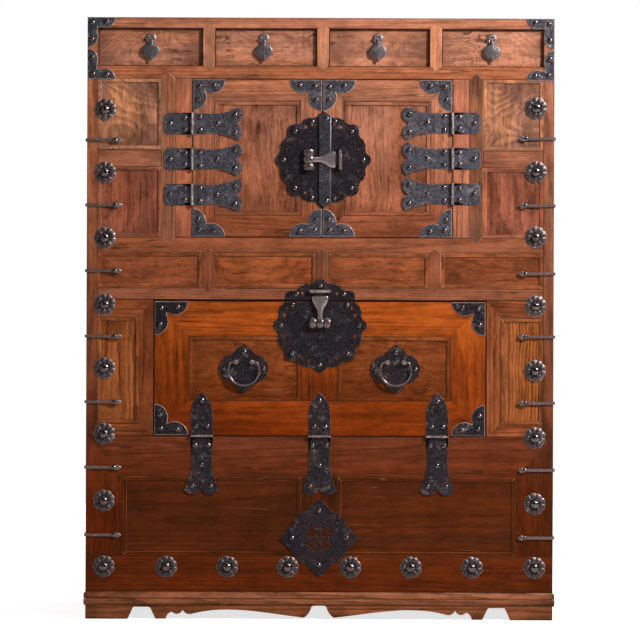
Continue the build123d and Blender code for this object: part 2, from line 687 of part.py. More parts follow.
def lock_spots(distance, angles):
    """Points round a lock plate's middle."""
    return [(distance * cos(angle * pi / 180), distance * sin(angle * pi / 180)) for angle in angles]


def swallow_tail(length, width, tail):
    """Hinge leaf along +x from its barrel line, flaring to a two-lobed tail."""
    half, wing = width / 2, tail / 2
    waist = length * 0.42
    narrow = half - LEAF_WAIST_DIP
    tip = length - 0.26 * wing
    notch = length - 0.42 * wing
    upper = [
        Line((0, -half), (0, half)),
        Line((0, half), (waist, narrow)),
        ThreePointArc((waist, narrow), ((waist + tip) / 2, half + 0.16 * (wing - half)), (tip, wing)),
        ThreePointArc((tip, wing), (length, 0.5 * wing), (notch, 0)),
        ThreePointArc((notch, 0), (length, -0.5 * wing), (tip, -wing)),
        ThreePointArc((tip, -wing), ((waist + tip) / 2, -half - 0.16 * (wing - half)), (waist, -narrow)),
        Line((waist, -narrow), (0, -half)),
    ]
    return make_face(Wire(upper))


def tail_nails(length, width, tail):
    """Nails of a swallow-tail leaf: two, one, two."""
    half, wing = width / 2, tail / 2
    return [
        (length * 0.16, half * 0.62), (length * 0.16, -half * 0.62),
        (length * 0.5, 0),
        (length * 0.86, wing * 0.55), (length * 0.86, -wing * 0.55),
    ]


# ---------------------------------------------------------------- hinges
def hinge_knuckles(width, middle):
    """Knuckles round a barrel along +Z, centred on the origin: the middle one or the two ends."""
    third = width / 3
    tube = Cylinder(BARREL_R, third - LEAF_GAP) - Cylinder(PIN_R + PIN_CLEARANCE, third)
    if middle:
        return [tube]
    return [Pos(0, 0, third) * tube, Pos(0, 0, -third) * tube]


def hinge_leaf(face, spots, width, middle):
    """Leaf and knuckles with the barrel along +Z through the origin, and the leaf toward +X behind it."""
    third = width / 3
    holes = nail_holes(spots)
    leaf = extrude(Plane.XZ.offset(-barrel_ahead) * (face - holes), PLATE_T)
    room = BARREL_R + LEAF_GAP
    reach = barrel_ahead + 1
    cut_half = third / 2 + LEAF_GAP
    if middle:
        for level in (third, -third):
            leaf -= block(-1, room, -reach, reach, level - cut_half, level + cut_half)
    else:
        leaf -= block(-1, room, -reach, reach, -cut_half, cut_half)
    bore = Cylinder(PIN_R + PIN_CLEARANCE, 2 * width)
    for knuckle in hinge_knuckles(width, middle):
        leaf += knuckle
    return leaf - bore


def hinge_pin(width):
    """Pin with a small head at each end of the barrel."""
    end = Cylinder(PIN_HEAD_R, PIN_HEAD_H)
    level = (width + PIN_HEAD_H) / 2 + PIN_HEAD_GAP
    pin = Cylinder(PIN_R, width + 2 * PIN_HEAD_GAP)
    return pin + Pos(0, 0, level) * end + Pos(0, 0, -level) * end


def upper_leaf_outline():
    """Flap leaf along +x from its barrel line, ending in a pointed arch."""
    half = FLAP_LEAF_W / 2
    shoulder = FLAP_LEAF_L - FLAP_LEAF_TIP
    face = make_face(Wire([
        Line((0, -half), (0, half)),
        Line((0, half), (shoulder, half)),
        ThreePointArc((shoulder, half), (shoulder + 0.5 * FLAP_LEAF_TIP, 0.62 * half), (FLAP_LEAF_L, 0)),
        ThreePointArc((FLAP_LEAF_L, 0), (shoulder + 0.5 * FLAP_LEAF_TIP, -0.62 * half), (shoulder, -half)),
        Line((shoulder, -half), (0, -half)),
    ]))
    for side in (-1, 1):
        face -= disc(shoulder, side * half, FLAP_LEAF_CUSP_R)
        face -= disc(shoulder - 2 * FLAP_LEAF_STEP, side * half, FLAP_LEAF_CUSP_R)
        face -= disc(shoulder - FLAP_LEAF_STEP, side * 0.5 * half, FLAP_LEAF_HOLE_R)
        face -= disc(shoulder + FLAP_LEAF_STEP, side * 0.36 * half, FLAP_LEAF_HOLE_R)
    return face


def frame_leaf_outline():
    """Door hinge's fixed leaf, toward +x, with cut corners."""
    half, cut = DOOR_LEAF_H / 2, FRAME_LEAF_CHAMFER
    end = FRAME_LEAF_L
    return outline(
        (0, -half), (end - cut, -half), (end, cut - half), (end, half - cut), (end - cut, half), (0, half),
    )


# ---------------------------------------------------------------- lock parts
def loop_solid(width):
    """Lock loop: an arched lug on its plate with a bar hole, hole axis along X, middle of its foot at 0.

    The lug stands toward +Z and is LOOP_L long in Y.
    """
    arch = rect(-LOOP_L / 2, LOOP_L / 2, 0, LOOP_H / 2)
    arch += Pos(0, LOOP_H / 2) * Ellipse(LOOP_L / 2, LOOP_H / 2)
    arch -= disc(0, LOCK_BAR_LIFT, LOCK_BAR_R)
    arch = arch & rect(-LOOP_L, LOOP_L, 0, 2 * LOOP_H)
    return extrude(Plane.YZ.offset(-width / 2) * arch, width)


hasp_low = PLATE_T + COVER_STRIP_LIFT + COVER_STRIP_T + HASP_GAP
hasp_axis_ahead = hasp_low + HASP_T / 2
hasp_knuckle = HASP_W - 2 * (LOOP_GAP + HASP_LUG_W)


def hasp_solid(reach):
    """Hasp in the front view's plane: hinge barrel along +Z at the origin, tongue toward -x, eye at its end.

    y = 0 is the barrel's axis.
    """
    half, neck = HASP_W / 2, HASP_NECK_W / 2
    start, wide = -HASP_BARREL_R - HASP_SHOULDER, half - HASP_ROUND
    knuckle = hasp_knuckle / 2
    body = make_face(Wire([
        Line((0, -knuckle), (0, knuckle)),
        Line((0, knuckle), (start, knuckle)),
        Line((start, knuckle), (start, wide)),
        ThreePointArc((start, wide), (-0.36 * reach, 0.55 * half), (-0.62 * reach, neck)),
        Line((-0.62 * reach, neck), (-reach, neck)),
        Line((-reach, neck), (-reach, -neck)),
        Line((-reach, -neck), (-0.62 * reach, -neck)),
        ThreePointArc((-0.62 * reach, -neck), (-0.36 * reach, -0.55 * half), (start, -wide)),
        Line((start, -wide), (start, -knuckle)),
        Line((start, -knuckle), (0, -knuckle)),
    ]))
    slot_x = -HASP_BARREL_R - HASP_SLOT_GAP
    body -= rect(slot_x - HASP_SLOT_W, slot_x, -half / 2, half / 2)
    solid = extrude(Plane.XZ.offset(-HASP_T / 2) * body, HASP_T)
    solid += Cylinder(HASP_BARREL_R, hasp_knuckle)
    # the eye hangs from the tongue between the two loops, its hole in line with theirs
    foot = hasp_axis_ahead - PLATE_T
    eye = Pos(-reach, foot, 0) * Rot(90, 0, 0) * Rot(0, 0, 90) * loop_solid(LOOP_W)
    room = block(-reach - LOOP_L, LOOP_L - reach, -LOOP_H, foot - EYE_FOOT_GAP, -LOOP_W, LOOP_W)
    solid += eye & room
    solid -= Cylinder(HASP_PIN_R + PIN_CLEARANCE, 2 * HASP_W)
    bar = Cylinder(LOCK_BAR_R, 4 * LOOP_W)
    solid -= Pos(-reach, foot - LOCK_BAR_LIFT, 0) * bar
    return solid


def hasp_lugs():
    """Two lugs that carry the hasp's pin, the pin along +Z through the origin, feet on the lock plate."""
    half = HASP_LUG_W / 2
    foot = hasp_axis_ahead - PLATE_T
    lug = Cylinder(HASP_BARREL_R, HASP_LUG_W) + block(-HASP_BARREL_R, HASP_BARREL_R, 0, foot, -half, half)
    lug -= Cylinder(HASP_PIN_R, 2 * HASP_LUG_W)
    level = (hasp_knuckle + LOOP_GAP) / 2 + half
    pin = Cylinder(HASP_PIN_R, hasp_knuckle + LOOP_GAP + 2 * HASP_LUG_W)
    return [Pos(0, 0, -level) * lug, Pos(0, 0, level) * lug, pin]


def lock_loops():
    """The two loops above and below the hasp's eye; hole axis along Z, feet on the plate at y = 0."""
    pitch = LOOP_W + LOOP_GAP
    lug = Rot(90, 0, 0) * Rot(0, 0, 90) * loop_solid(LOOP_W)
    return [Pos(0, 0, pitch) * lug, Pos(0, 0, -pitch) * lug]


# ---------------------------------------------------------------- doors
def door_hinges(side):
    """Places of one door's three hinges: barrel x and heights."""
    heights = (hinge_high, hinge_high - hinge_pitch, hinge_low)
    if side < 0:
        return door_left + DOOR_GAP / 2, heights
    return door_right - DOOR_GAP / 2, tuple(z + HINGE_RISE_RIGHT for z in heights)


def door(side):
    """One door, its ironwork and nails; side -1 is the left door."""
    name = "left_door" if side < 0 else "right_door"
    meet = UPPER_SHIFT + side * DOOR_GAP / 2
    hung = door_left + DOOR_GAP if side < 0 else door_right - DOOR_GAP
    x0, x1 = sorted((meet, hung))
    z0, z1 = door_z + DOOR_GAP, drawer_rail_z - DOOR_GAP
    thickness = FRAME_T - STOP_GAP
    boards = mitred_frame(x0, x1, z0, z1, DOOR_FRAME_W, thickness)
    opening = (x0 + DOOR_FRAME_W, x1 - DOOR_FRAME_W, z0 + DOOR_FRAME_W, z1 - DOOR_FRAME_W)
    bevel_face = outline((0, 0), (0, -thickness), (-side * -DOOR_BACK_BEVEL, -thickness))
    bevel = extrude(Plane.XY.offset(z0 - 1) * (Pos(meet, 0) * mirror(bevel_face, Plane.XZ)), z1 - z0 + 2)
    bevel = Pos(0, FRONT, 0) * bevel
    save(f"{name}_frame", cut_all(boards, [groove(*opening), bevel]))
    save(f"{name}_panel", [panel(*opening)] + bead(*opening))

    spots = []
    plates = []
    gap = CORNER_EDGE_GAP
    for x, sx in ((meet + side * gap, side), (hung - side * gap, -side)):
        for z, sz, down in ((z1 - gap, -1, DOOR_CORNER_HEAD_L), (z0 + gap, 1, DOOR_CORNER_FOOT_L)):
            plate, own = corner_plate(
                x, z, sx, sz, DOOR_CORNER_L, down, DOOR_CORNER_LOBE, DOOR_CORNER_THROAT)
            plates.append(plate)
            spots += own
    save(f"{name}_corner_plates", plates)

    barrel_x, heights = door_hinges(side)
    leaf_face = swallow_tail(DOOR_LEAF_L, DOOR_LEAF_H, door_tail_h)
    leaf_spots = tail_nails(DOOR_LEAF_L, DOOR_LEAF_H, door_tail_h)
    leaf = hinge_leaf(leaf_face, leaf_spots, DOOR_LEAF_H, True)
    if side > 0:
        leaf = mirror(leaf, Plane.YZ)
    leaves = []
    for z in heights:
        leaves.append(Pos(barrel_x, FRONT - barrel_ahead, z) * leaf)
        spots += [(barrel_x - side * u, z + v) for u, v in leaf_spots]
    save(f"{name}_hinge_leaves", leaves)

    angles = (112.5, 157.5, 202.5, 247.5) if side < 0 else (67.5, 22.5, -22.5, -67.5)
    point_angles = (135, 180, 225) if side < 0 else (45, 0, -45)
    tip_angles = (90 - side * LOCK_TIP_ANGLE, side * LOCK_TIP_ANGLE - 90)
    lock_nails = lock_spots(door_lock_r - LOCK_NAIL_INSET, point_angles + tip_angles)
    lock_nails = [(door_lock_x + u, door_lock_z + v) for u, v in lock_nails]
    half_plate = Pos(door_lock_x, door_lock_z) * lock_plate_face(door_lock_r, angles)
    far = side * 2 * door_lock_r
    keep_x0, keep_x1 = sorted((meet + side * gap, door_lock_x + far))
    half_plate = half_plate & rect(keep_x0, keep_x1, door_z, drawer_rail_z)
    strip_nails = cover_strip_nails()
    if side > 0:
        half_plate -= nail_holes(strip_nails)
    plate = raised(half_plate - nail_holes(lock_nails), 0, PLATE_T)
    lock_shapes = [plate]
    if side < 0:
        eye_x = door_hasp_x - DOOR_HASP_REACH
        loops = [Pos(eye_x, FRONT - PLATE_T, door_lock_z) * shape for shape in lock_loops()]
        lock_shapes += loops
    else:
        lugs = [Pos(door_hasp_x, FRONT - hasp_axis_ahead, door_lock_z) * shape for shape in hasp_lugs()]
        lock_shapes += lugs
    save(f"{name}_lock_plate", lock_shapes)

    own_nails = nails(spots + lock_nails, PLATE_T)
    if side > 0:
        own_nails += nails(strip_nails, PLATE_T + COVER_STRIP_LIFT + COVER_STRIP_T)
    save(f"{name}_nails", own_nails)


def lock_plate_face(radius, angles):
    """Scalloped plate with a pair of small holes in the middle of each named side."""
    face = scalloped_octagon(radius)
    for angle in angles:
        for side in (-1, 1):
            spot = Pos(radius - LOCK_HOLE_INSET, side * LOCK_HOLE_SPREAD)
            face -= Rot(0, 0, angle) * (spot * Circle(LOCK_HOLE_R))
    return face


def cover_strip_nails():
    """Nails of the cover strip, in its part over the right door."""
    x = UPPER_SHIFT + (COVER_STRIP_W - COVER_STRIP_LAP) / 2
    reach = cover_strip_l / 2 - COVER_STRIP_NAIL_INSET
    return [(x, door_lock_z + reach), (x, door_lock_z - reach)]


def cover_strip():
    """Strip on the right door's edge that laps over the left door."""
    x0 = UPPER_SHIFT - COVER_STRIP_LAP
    x1 = x0 + COVER_STRIP_W
    z0, z1 = door_lock_z - cover_strip_l / 2, door_lock_z + cover_strip_l / 2
    shoulder = COVER_STRIP_POINT
    middle = (x0 + x1) / 2
    face = outline(
        (x0, z0 + shoulder), (middle, z0), (x1, z0 + shoulder),
        (x1, z1 - shoulder), (middle, z1), (x0, z1 - shoulder),
    )
    holes = nail_holes(cover_strip_nails())
    low = PLATE_T + COVER_STRIP_LIFT
    strip = raised(face - holes, low, low + COVER_STRIP_T)
    foot_face = rect(UPPER_SHIFT + DOOR_GAP + CORNER_EDGE_GAP, x1, z0 + shoulder, z1 - shoulder)
    strip += raised(foot_face - holes, PLATE_T, low)
    save("right_door_cover_strip", [strip])


def door_hasp():
    """Hasp on the right door that closes over the left door's loops."""
    save("door_hasp", [Pos(door_hasp_x, FRONT - hasp_axis_ahead, door_lock_z) * hasp_solid(DOOR_HASP_REACH)])


def door_frame_leaves():
    """Fixed leaves of the six door hinges, with their nail spots."""
    face = frame_leaf_outline()
    near = 0.26 * FRAME_LEAF_L
    own = [(near, LEAF_NAIL_SPREAD), (near, -LEAF_NAIL_SPREAD), (0.78 * FRAME_LEAF_L, 0)]
    leaf = hinge_leaf(face, own, DOOR_LEAF_H, False)
    leaves, spots, pins = [], [], []
    for side in (-1, 1):
        turned = mirror(leaf, Plane.YZ) if side < 0 else leaf
        barrel_x, heights = door_hinges(side)
        for z in heights:
            leaves.append(Pos(barrel_x, FRONT - barrel_ahead, z) * turned)
            pins.append(Pos(barrel_x, FRONT - barrel_ahead, z) * hinge_pin(DOOR_LEAF_H))
            spots += [(barrel_x + side * u, z + v) for u, v in own]
    save("door_hinge_frame_leaves", leaves)
    return spots, pins


# ---------------------------------------------------------------- flap
flap_axis_z = flap_z + FLAP_GAP / 2
loop_turn = Rot(0, 90, 0)
flap_bottom = flap_z + FLAP_GAP
flap_top = flap_rail_z - FLAP_TOP_GAP


def edge_strip_face():
    """Strip along the flap's top edge, over its lock plate."""
    half = EDGE_STRIP_W / 2
    return rect(-half, half, flap_top - CORNER_EDGE_GAP - EDGE_STRIP_H, flap_top - CORNER_EDGE_GAP)


def handle_outline():
    """Handle plate: round sides, pointed top and bottom."""
    point_r = (HANDLE_R ** 2 + HANDLE_POINT_W ** 2) / (2 * HANDLE_POINT_W)
    shift = point_r - HANDLE_POINT_W
    lens = disc(shift, 0, point_r) & disc(-shift, 0, point_r)
    side_x = HANDLE_R - HANDLE_SIDE_R
    return lens + disc(side_x, 0, HANDLE_SIDE_R) + disc(-side_x, 0, HANDLE_SIDE_R)


def flap():
    """Drop front with its ironwork."""
    x0, x1 = FLAP_GAP - flap_half, flap_half - FLAP_GAP
    thickness = FRAME_T - STOP_GAP
    boards = mitred_frame(x0, x1, flap_bottom, flap_top, FLAP_FRAME_W, thickness)
    inner_z0, inner_z1 = flap_bottom + FLAP_FRAME_W, flap_top - FLAP_FRAME_W
    boards.append(board(rect(-FLAP_MUNTIN_W / 2, FLAP_MUNTIN_W / 2, inner_z0, inner_z1), thickness))
    openings = [
        (x0 + FLAP_FRAME_W, -FLAP_MUNTIN_W / 2, inner_z0, inner_z1),
        (FLAP_MUNTIN_W / 2, x1 - FLAP_FRAME_W, inner_z0, inner_z1),
    ]
    save("flap_frame", cut_all(boards, [groove(*opening) for opening in openings]))
    panels = []
    for opening in openings:
        panels.append(panel(*opening))
        panels += bead(*opening)
    save("flap_panels", panels)

    spots = []
    plates = []
    gap = CORNER_EDGE_GAP
    for x, sx in ((x0 + gap, 1), (x1 - gap, -1)):
        for z, sz, down in ((flap_top - gap, -1, FLAP_CORNER_L), (flap_bottom + gap, 1, FLAP_CORNER_FOOT_L)):
            plate, own = corner_plate(
                x, z, sx, sz, FLAP_CORNER_L, down, DOOR_CORNER_LOBE, DOOR_CORNER_THROAT)
            plates.append(plate)
            spots += own
    save("flap_corner_plates", plates)

    near = 0.22 * FLAP_LEAF_L
    leaf_spots = [(near, LEAF_NAIL_SPREAD), (near, -LEAF_NAIL_SPREAD), (0.8 * FLAP_LEAF_L, 0)]
    leaf = hinge_leaf(upper_leaf_outline(), leaf_spots, FLAP_LEAF_W, True)
    leaves = []
    for x in FLAP_HINGE_X:
        leaves.append(Pos(x, FRONT - barrel_ahead, flap_axis_z) * Rot(0, -90, 0) * leaf)
        spots += [(x - v, flap_axis_z + u) for u, v in leaf_spots]
    save("flap_hinge_upper_leaves", leaves)

    lock_face = Pos(0, flap_lock_z) * lock_plate_face(FLAP_LOCK_R, LOCK_SIDE_ANGLES)
    lock_nails = [
        (u, flap_lock_z + v)
        for u, v in lock_spots(FLAP_LOCK_R - LOCK_NAIL_INSET, (0, 180, 225, 270, 315))
    ]
    half_strip = EDGE_STRIP_W / 2 - EDGE_STRIP_NAIL_INSET
    strip_z = flap_top - gap - EDGE_STRIP_H / 2
    strip_nails = [(-half_strip, strip_z), (half_strip, strip_z)]
    low_part = lock_face & rect(-2 * FLAP_LOCK_R, 2 * FLAP_LOCK_R, flap_bottom, flap_top - gap)
    lock_shapes = [raised(low_part - nail_holes(lock_nails + strip_nails), 0, PLATE_T)]
    lock_shapes.append(raised(edge_strip_face() - nail_holes(strip_nails), PLATE_T, PLATE_T + EDGE_STRIP_T))
    eye_z = flap_hasp_z - FLAP_HASP_REACH
    for shape in lock_loops():
        lock_shapes.append(Pos(0, FRONT - PLATE_T, eye_z) * loop_turn * shape)
    save("flap_lock_plate", lock_shapes)

    handle_shapes = []
    handle_spots = []
    axis_z = handle_z + HANDLE_POST_RISE
    for x in (-HANDLE_X, HANDLE_X):
        far = 0.8 * HANDLE_R
        own = [(x, handle_z + 0.66 * HANDLE_R), (x - far, handle_z), (x + far, handle_z)]
        handle_spots += own
        face = Pos(x, handle_z) * handle_outline()
        plate = raised(face - nail_holes(own), 0, PLATE_T)
        for post_x in (x - HANDLE_POST_X, x + HANDLE_POST_X):
            post = raised(disc(post_x, axis_z, HANDLE_POST_R), PLATE_T, PLATE_T + HANDLE_POST_L)
            tip = post.faces().sort_by(Axis.Y)[0]
            plate += chamfer(tip.edges(), HANDLE_POST_CHAMFER)
        bore = Pos(x, FRONT - PLATE_T - HANDLE_AXIS_LIFT, axis_z) * Rot(0, 90, 0)
        bore = bore * Cylinder(BAIL_WIRE_R + PIN_CLEARANCE, 4 * HANDLE_POST_X)
        handle_shapes.append(plate - bore)
    save("flap_handle_plates", handle_shapes)

    own_nails = nails(spots + lock_nails + handle_spots, PLATE_T)
    own_nails += nails(strip_nails, PLATE_T + EDGE_STRIP_T)
    save("flap_nails", own_nails)


def flap_fixed_iron():
    """Lower hinge leaves, hinge pins and the lock plate's fixed upper part, with nail spots."""
    own = tail_nails(LOWER_LEAF_L, FLAP_LEAF_W, LOWER_TAIL_W)
    face = swallow_tail(LOWER_LEAF_L, FLAP_LEAF_W, LOWER_TAIL_W)
    leaf = hinge_leaf(face, own, FLAP_LEAF_W, False)
    leaves, spots, pins = [], [], []
    for x in FLAP_HINGE_X:
        place = Pos(x, FRONT - barrel_ahead, flap_axis_z)
        leaves.append(place * Rot(0, 90, 0) * leaf)
        pins.append(place * Rot(0, 90, 0) * hinge_pin(FLAP_LEAF_W))
        spots += [(x + v, flap_axis_z - u) for u, v in own]
    save("flap_hinge_lower_leaves", leaves)

    lock_face = Pos(0, flap_lock_z) * lock_plate_face(FLAP_LOCK_R, LOCK_SIDE_ANGLES)
    lock_nails = [
        (u, flap_lock_z + v)
        for u, v in lock_spots(FLAP_LOCK_R - LOCK_NAIL_INSET, LOCK_HEAD_ANGLES)
    ]
    top_part = lock_face & rect(-2 * FLAP_LOCK_R, 2 * FLAP_LOCK_R, flap_rail_z, sill_z)
    shapes = [raised(top_part - nail_holes(lock_nails), 0, PLATE_T)]
    lug_place = Pos(0, FRONT - hasp_axis_ahead, flap_hasp_z)
    shapes += [lug_place * loop_turn * shape for shape in hasp_lugs()]
    save("flap_lock_upper_plate", shapes)
    save("flap_hasp", [lug_place * Rot(0, -90, 0) * hasp_solid(FLAP_HASP_REACH)])
    return spots + lock_nails, pins


def bail(x):
    """C-shaped ring whose turned-in ends swing in the two posts."""
    axis_z = handle_z + HANDLE_POST_RISE
    lift = FRONT - PLATE_T - HANDLE_AXIS_LIFT
    end_x = sqrt(BAIL_R ** 2 - BAIL_DROP ** 2)
    path = Wire([
        Line((-BAIL_PIN_END, 0), (-end_x, 0)),
        ThreePointArc((-end_x, 0), (0, -BAIL_DROP - BAIL_R), (end_x, 0)),
        Line((end_x, 0), (BAIL_PIN_END, 0)),
    ])
    corners = [v for v in path.vertices() if abs(abs(v.X) - end_x) < 0.01]
    path = path.fillet_2d(BAIL_BEND_R, corners)
    start = Plane((-BAIL_PIN_END, 0, 0), z_dir=(-1, 0, 0))
    ring = sweep(start * Circle(BAIL_WIRE_R), path)
    return Pos(x, lift, axis_z) * Rot(90, 0, 0) * ring


# ---------------------------------------------------------------- drawers
def drawers():
    """Four drawers with their pulls."""
    edges = [-INNER]
    for centre in MUNTIN_CENTRES:
        edges += [centre - MUNTIN_W / 2, centre + MUNTIN_W / 2]
    edges.append(INNER)
    y0 = FRONT + DRAWER_RECESS
    y1 = y0 + DRAWER_FRONT_T
    back = y0 + DRAWER_LENGTH
    axis_z = top_rail_z - PULL_DROP
    for index, (left, right) in enumerate(zip(edges[0::2], edges[1::2])):
        x0, x1 = left + DRAWER_GAP, right - DRAWER_GAP
        z0, z1 = drawer_z + STOP_GAP, top_rail_z - DRAWER_GAP
        side_top = z1 - DRAWER_SIDE_DROP
        side = DRAWER_SIDE_T
        floor_top = z0 + DRAWER_BOTTOM_T
        number = index + 1
        boards = [
            block(x0, x1, y0, y1, z0, z1),
            block(x0, x0 + side, y1, back, z0, side_top),
            block(x1 - side, x1, y1, back, z0, side_top),
            block(x0 + side, x1 - side, back - side, back, z0, side_top),
            block(x0 + side, x1 - side, y1, back - side, z0, floor_top),
        ]
        save(f"drawer_{number}", boards)

        x = (left + right) / 2 + PULL_SHIFTS[index]
        ahead = -DRAWER_RECESS
        lift = ahead + PLATE_T + PULL_AXIS_LIFT
        plate = raised(disc(x, axis_z, PULL_PLATE_R), ahead, ahead + PLATE_T)
        lug_x = PULL_LUG_GAP / 2
        for s in (-1, 1):
            u0, u1 = sorted((x + s * lug_x, x + s * (lug_x + PULL_LUG_W)))
            low, high = axis_z - PULL_BARREL_R, axis_z + PULL_BARREL_R
            lug = Rot(0, 90, 0) * Cylinder(PULL_BARREL_R, PULL_LUG_W)
            plate += Pos((u0 + u1) / 2, FRONT - lift, axis_z) * lug
            plate += block(u0, u1, FRONT - lift, FRONT - ahead, low, high)
        pin = Rot(0, 90, 0) * Cylinder(PULL_PIN_R, PULL_LUG_GAP + PULL_LUG_W)
        plate += Pos(x, FRONT - lift, axis_z) * pin
        shank = raised(disc(x, axis_z, NAIL_SHANK_R), ahead - DRAWER_FRONT_T / 2, ahead)
        save(f"drawer_{number}_pull_plate", [plate + shank])

        leaf_z = axis_z - PULL_LEAF_DROP
        barrel_l = PULL_LUG_GAP - 2 * LEAF_GAP
        face = disc(x, leaf_z, PULL_LEAF_R)
        face += rect(x - barrel_l / 2, x + barrel_l / 2, leaf_z, axis_z)
        for s in (-1, 1):
            face += disc(x + s * PULL_SHOULDER_X, leaf_z + PULL_SHOULDER_RISE, PULL_SHOULDER_R)
        root_z = leaf_z - PULL_LEAF_R + PULL_TAIL_LAP
        tip_z = leaf_z - PULL_LEAF_R - PULL_TAIL_L
        face += outline((x - PULL_TAIL_W / 2, root_z), (x, tip_z), (x + PULL_TAIL_W / 2, root_z))
        face += disc(x, tip_z - PULL_TAIL_LAP + PULL_TAIL_R, PULL_TAIL_R)
        keep = rect(x - PULL_LEAF_R, x + PULL_LEAF_R, 0, axis_z)
        leaf = raised(face & keep, lift - PULL_LEAF_T / 2, lift + PULL_LEAF_T / 2)
        place = Pos(x, FRONT - lift, axis_z) * Rot(0, 90, 0)
        for s in (-1, 1):
            u0, u1 = sorted((x + s * barrel_l / 2, x + s * (PULL_LUG_GAP / 2 + PULL_LUG_W + LEAF_GAP)))
            high = axis_z - PULL_BARREL_R - LEAF_GAP
            leaf -= block(u0, u1, FRONT - lift - PULL_LEAF_T, FRONT - lift + PULL_LEAF_T, high, axis_z + 1)
        leaf += place * Cylinder(PULL_BARREL_R, barrel_l)
        leaf -= place * Cylinder(PULL_PIN_R + PIN_CLEARANCE, 2 * PULL_LUG_GAP)
        save(f"drawer_{number}_drop", [leaf])


# ---------------------------------------------------------------- ornaments on the carcass
def top_corner_plates():
    """Two plates at each top corner, upper and lower, with their nail spots."""
    plates, spots = [], []
    foot = HEIGHT - TOP_CORNER_ARM - TOP_CORNER_GAP
    low_z = foot - TOP_CORNER_ARM
    for side in (-1, 1):
        for z, sz in ((HEIGHT, -1), (low_z, 1)):
            plate, own = corner_plate(
                side * HALF, z, -side, sz, TOP_CORNER_L, TOP_CORNER_ARM, TOP_CORNER_LOBE, TOP_CORNER_THROAT)
            plates.append(plate)
            spots += own
    save("top_corner_plates", plates)
    return spots


def rosettes():
    """Flower plates with a domed stud each."""
    petal_r = ROSETTE_R * sin(pi / ROSETTE_PETALS) * 1.05
    ring_r = ROSETTE_R - petal_r
    flower = Circle(ring_r)
    for index in range(ROSETTE_PETALS):
        flower += Rot(0, 0, 90 + 360 / ROSETTE_PETALS * index) * disc(ring_r, 0, petal_r)
    flower -= Circle(NAIL_SHANK_R + NAIL_HOLE_GAP)
    spots = [(-rosette_x, HEIGHT - drop) for drop in ROSETTE_DROPS_LEFT]
    spots += [(rosette_x, HEIGHT - drop) for drop in ROSETTE_DROPS_RIGHT]
    for x in ROSETTE_FOOT_X + (rosette_x,):
        spots += [(-x, rosette_foot_z), (x, rosette_foot_z)]
    flat = raised(flower, 0, ROSETTE_T)
    plates = [Pos(x, 0, z) * flat for x, z in spots]
    save("rosettes", plates)
    save("rosette_studs", nails(spots, ROSETTE_T, STUD_R, STUD_H))


def cleats():
    """Bars round the front edges with a leaf-shaped tip and a nail."""
    head_back = cleat_tip_x + CLEAT_HEAD_L
    half, head = CLEAT_W / 2, CLEAT_HEAD_W / 2
    bars, spots = [], []
    for side, drops in ((-1, CLEAT_DROPS_LEFT), (1, CLEAT_DROPS_RIGHT)):
        for drop in drops:
            z = HEIGHT - drop
            tip, wide = side * cleat_tip_x, side * (cleat_tip_x + CLEAT_HEAD_L * 0.55)
            neck = side * head_back
            spot = (side * cleat_stud_x, z)
            face = make_face(Wire([
                ThreePointArc((tip, z), ((tip + wide) / 2, z + 0.62 * head), (wide, z + head)),
                ThreePointArc((wide, z + head), ((wide + neck) / 2, z + 0.8 * head), (neck, z + half)),
                Line((neck, z + half), (side * (HALF + CLEAT_T), z + half)),
                Line((side * (HALF + CLEAT_T), z + half), (side * (HALF + CLEAT_T), z - half)),
                Line((side * (HALF + CLEAT_T), z - half), (neck, z - half)),
                ThreePointArc((neck, z - half), ((wide + neck) / 2, z - 0.8 * head), (wide, z - head)),
                ThreePointArc((wide, z - head), ((tip + wide) / 2, z - 0.62 * head), (tip, z)),
            ]))
            bar = raised(face - nail_holes([spot]), 0, CLEAT_T)
            x0, x1 = sorted((side * HALF, side * (HALF + CLEAT_T)))
            bar += block(x0, x1, FRONT, FRONT + CLEAT_SIDE_L, z - half, z + half)
            bars.append(bar)
            spots.append(spot)
    save("edge_cleats", bars)
    return spots


def diamond_plate():
    """Square plate on its point, pierced in the middle with a plain straight fret in a ring."""
    half = DIAMOND_HALF
    face = outline((half, 0), (0, half), (-half, 0), (0, -half))
    edge = half / 2
    crescent = Circle(CRESCENT_R) - Pos(-CRESCENT_BITE, -CRESCENT_BITE) * Circle(CRESCENT_R)
    for turn in range(4):
        for step in (-DIAMOND_SCALLOP_STEP, DIAMOND_SCALLOP_STEP):
            place = Rot(0, 0, 90 * turn) * Pos(edge + step, edge - step)
            face += place * Circle(DIAMOND_SCALLOP_R)
            face -= place * Pos(-CRESCENT_INSET, -CRESCENT_INSET) * crescent
    window = Circle(FRET_R)
    bars = Rectangle(2 * FRET_R, FRET_BAR) + Rectangle(FRET_BAR, 2 * FRET_R)
    for turn in range(4):
        bars += Rot(0, 0, 90 * turn) * (Pos(FRET_CAP_X, 0) * Rectangle(FRET_BAR, FRET_CAP_L))
    bars += Rectangle(FRET_BOSS, FRET_BOSS)
    face = face - window + (bars & window)
    own = [(DIAMOND_NAIL, 0), (-DIAMOND_NAIL, 0), (0, DIAMOND_NAIL), (0, -DIAMOND_NAIL)]
    face -= nail_holes(own)
    save("diamond_plate", [raised(Pos(0, diamond_z) * face, 0, PLATE_T)])
    return [(x, z + diamond_z) for x, z in own]


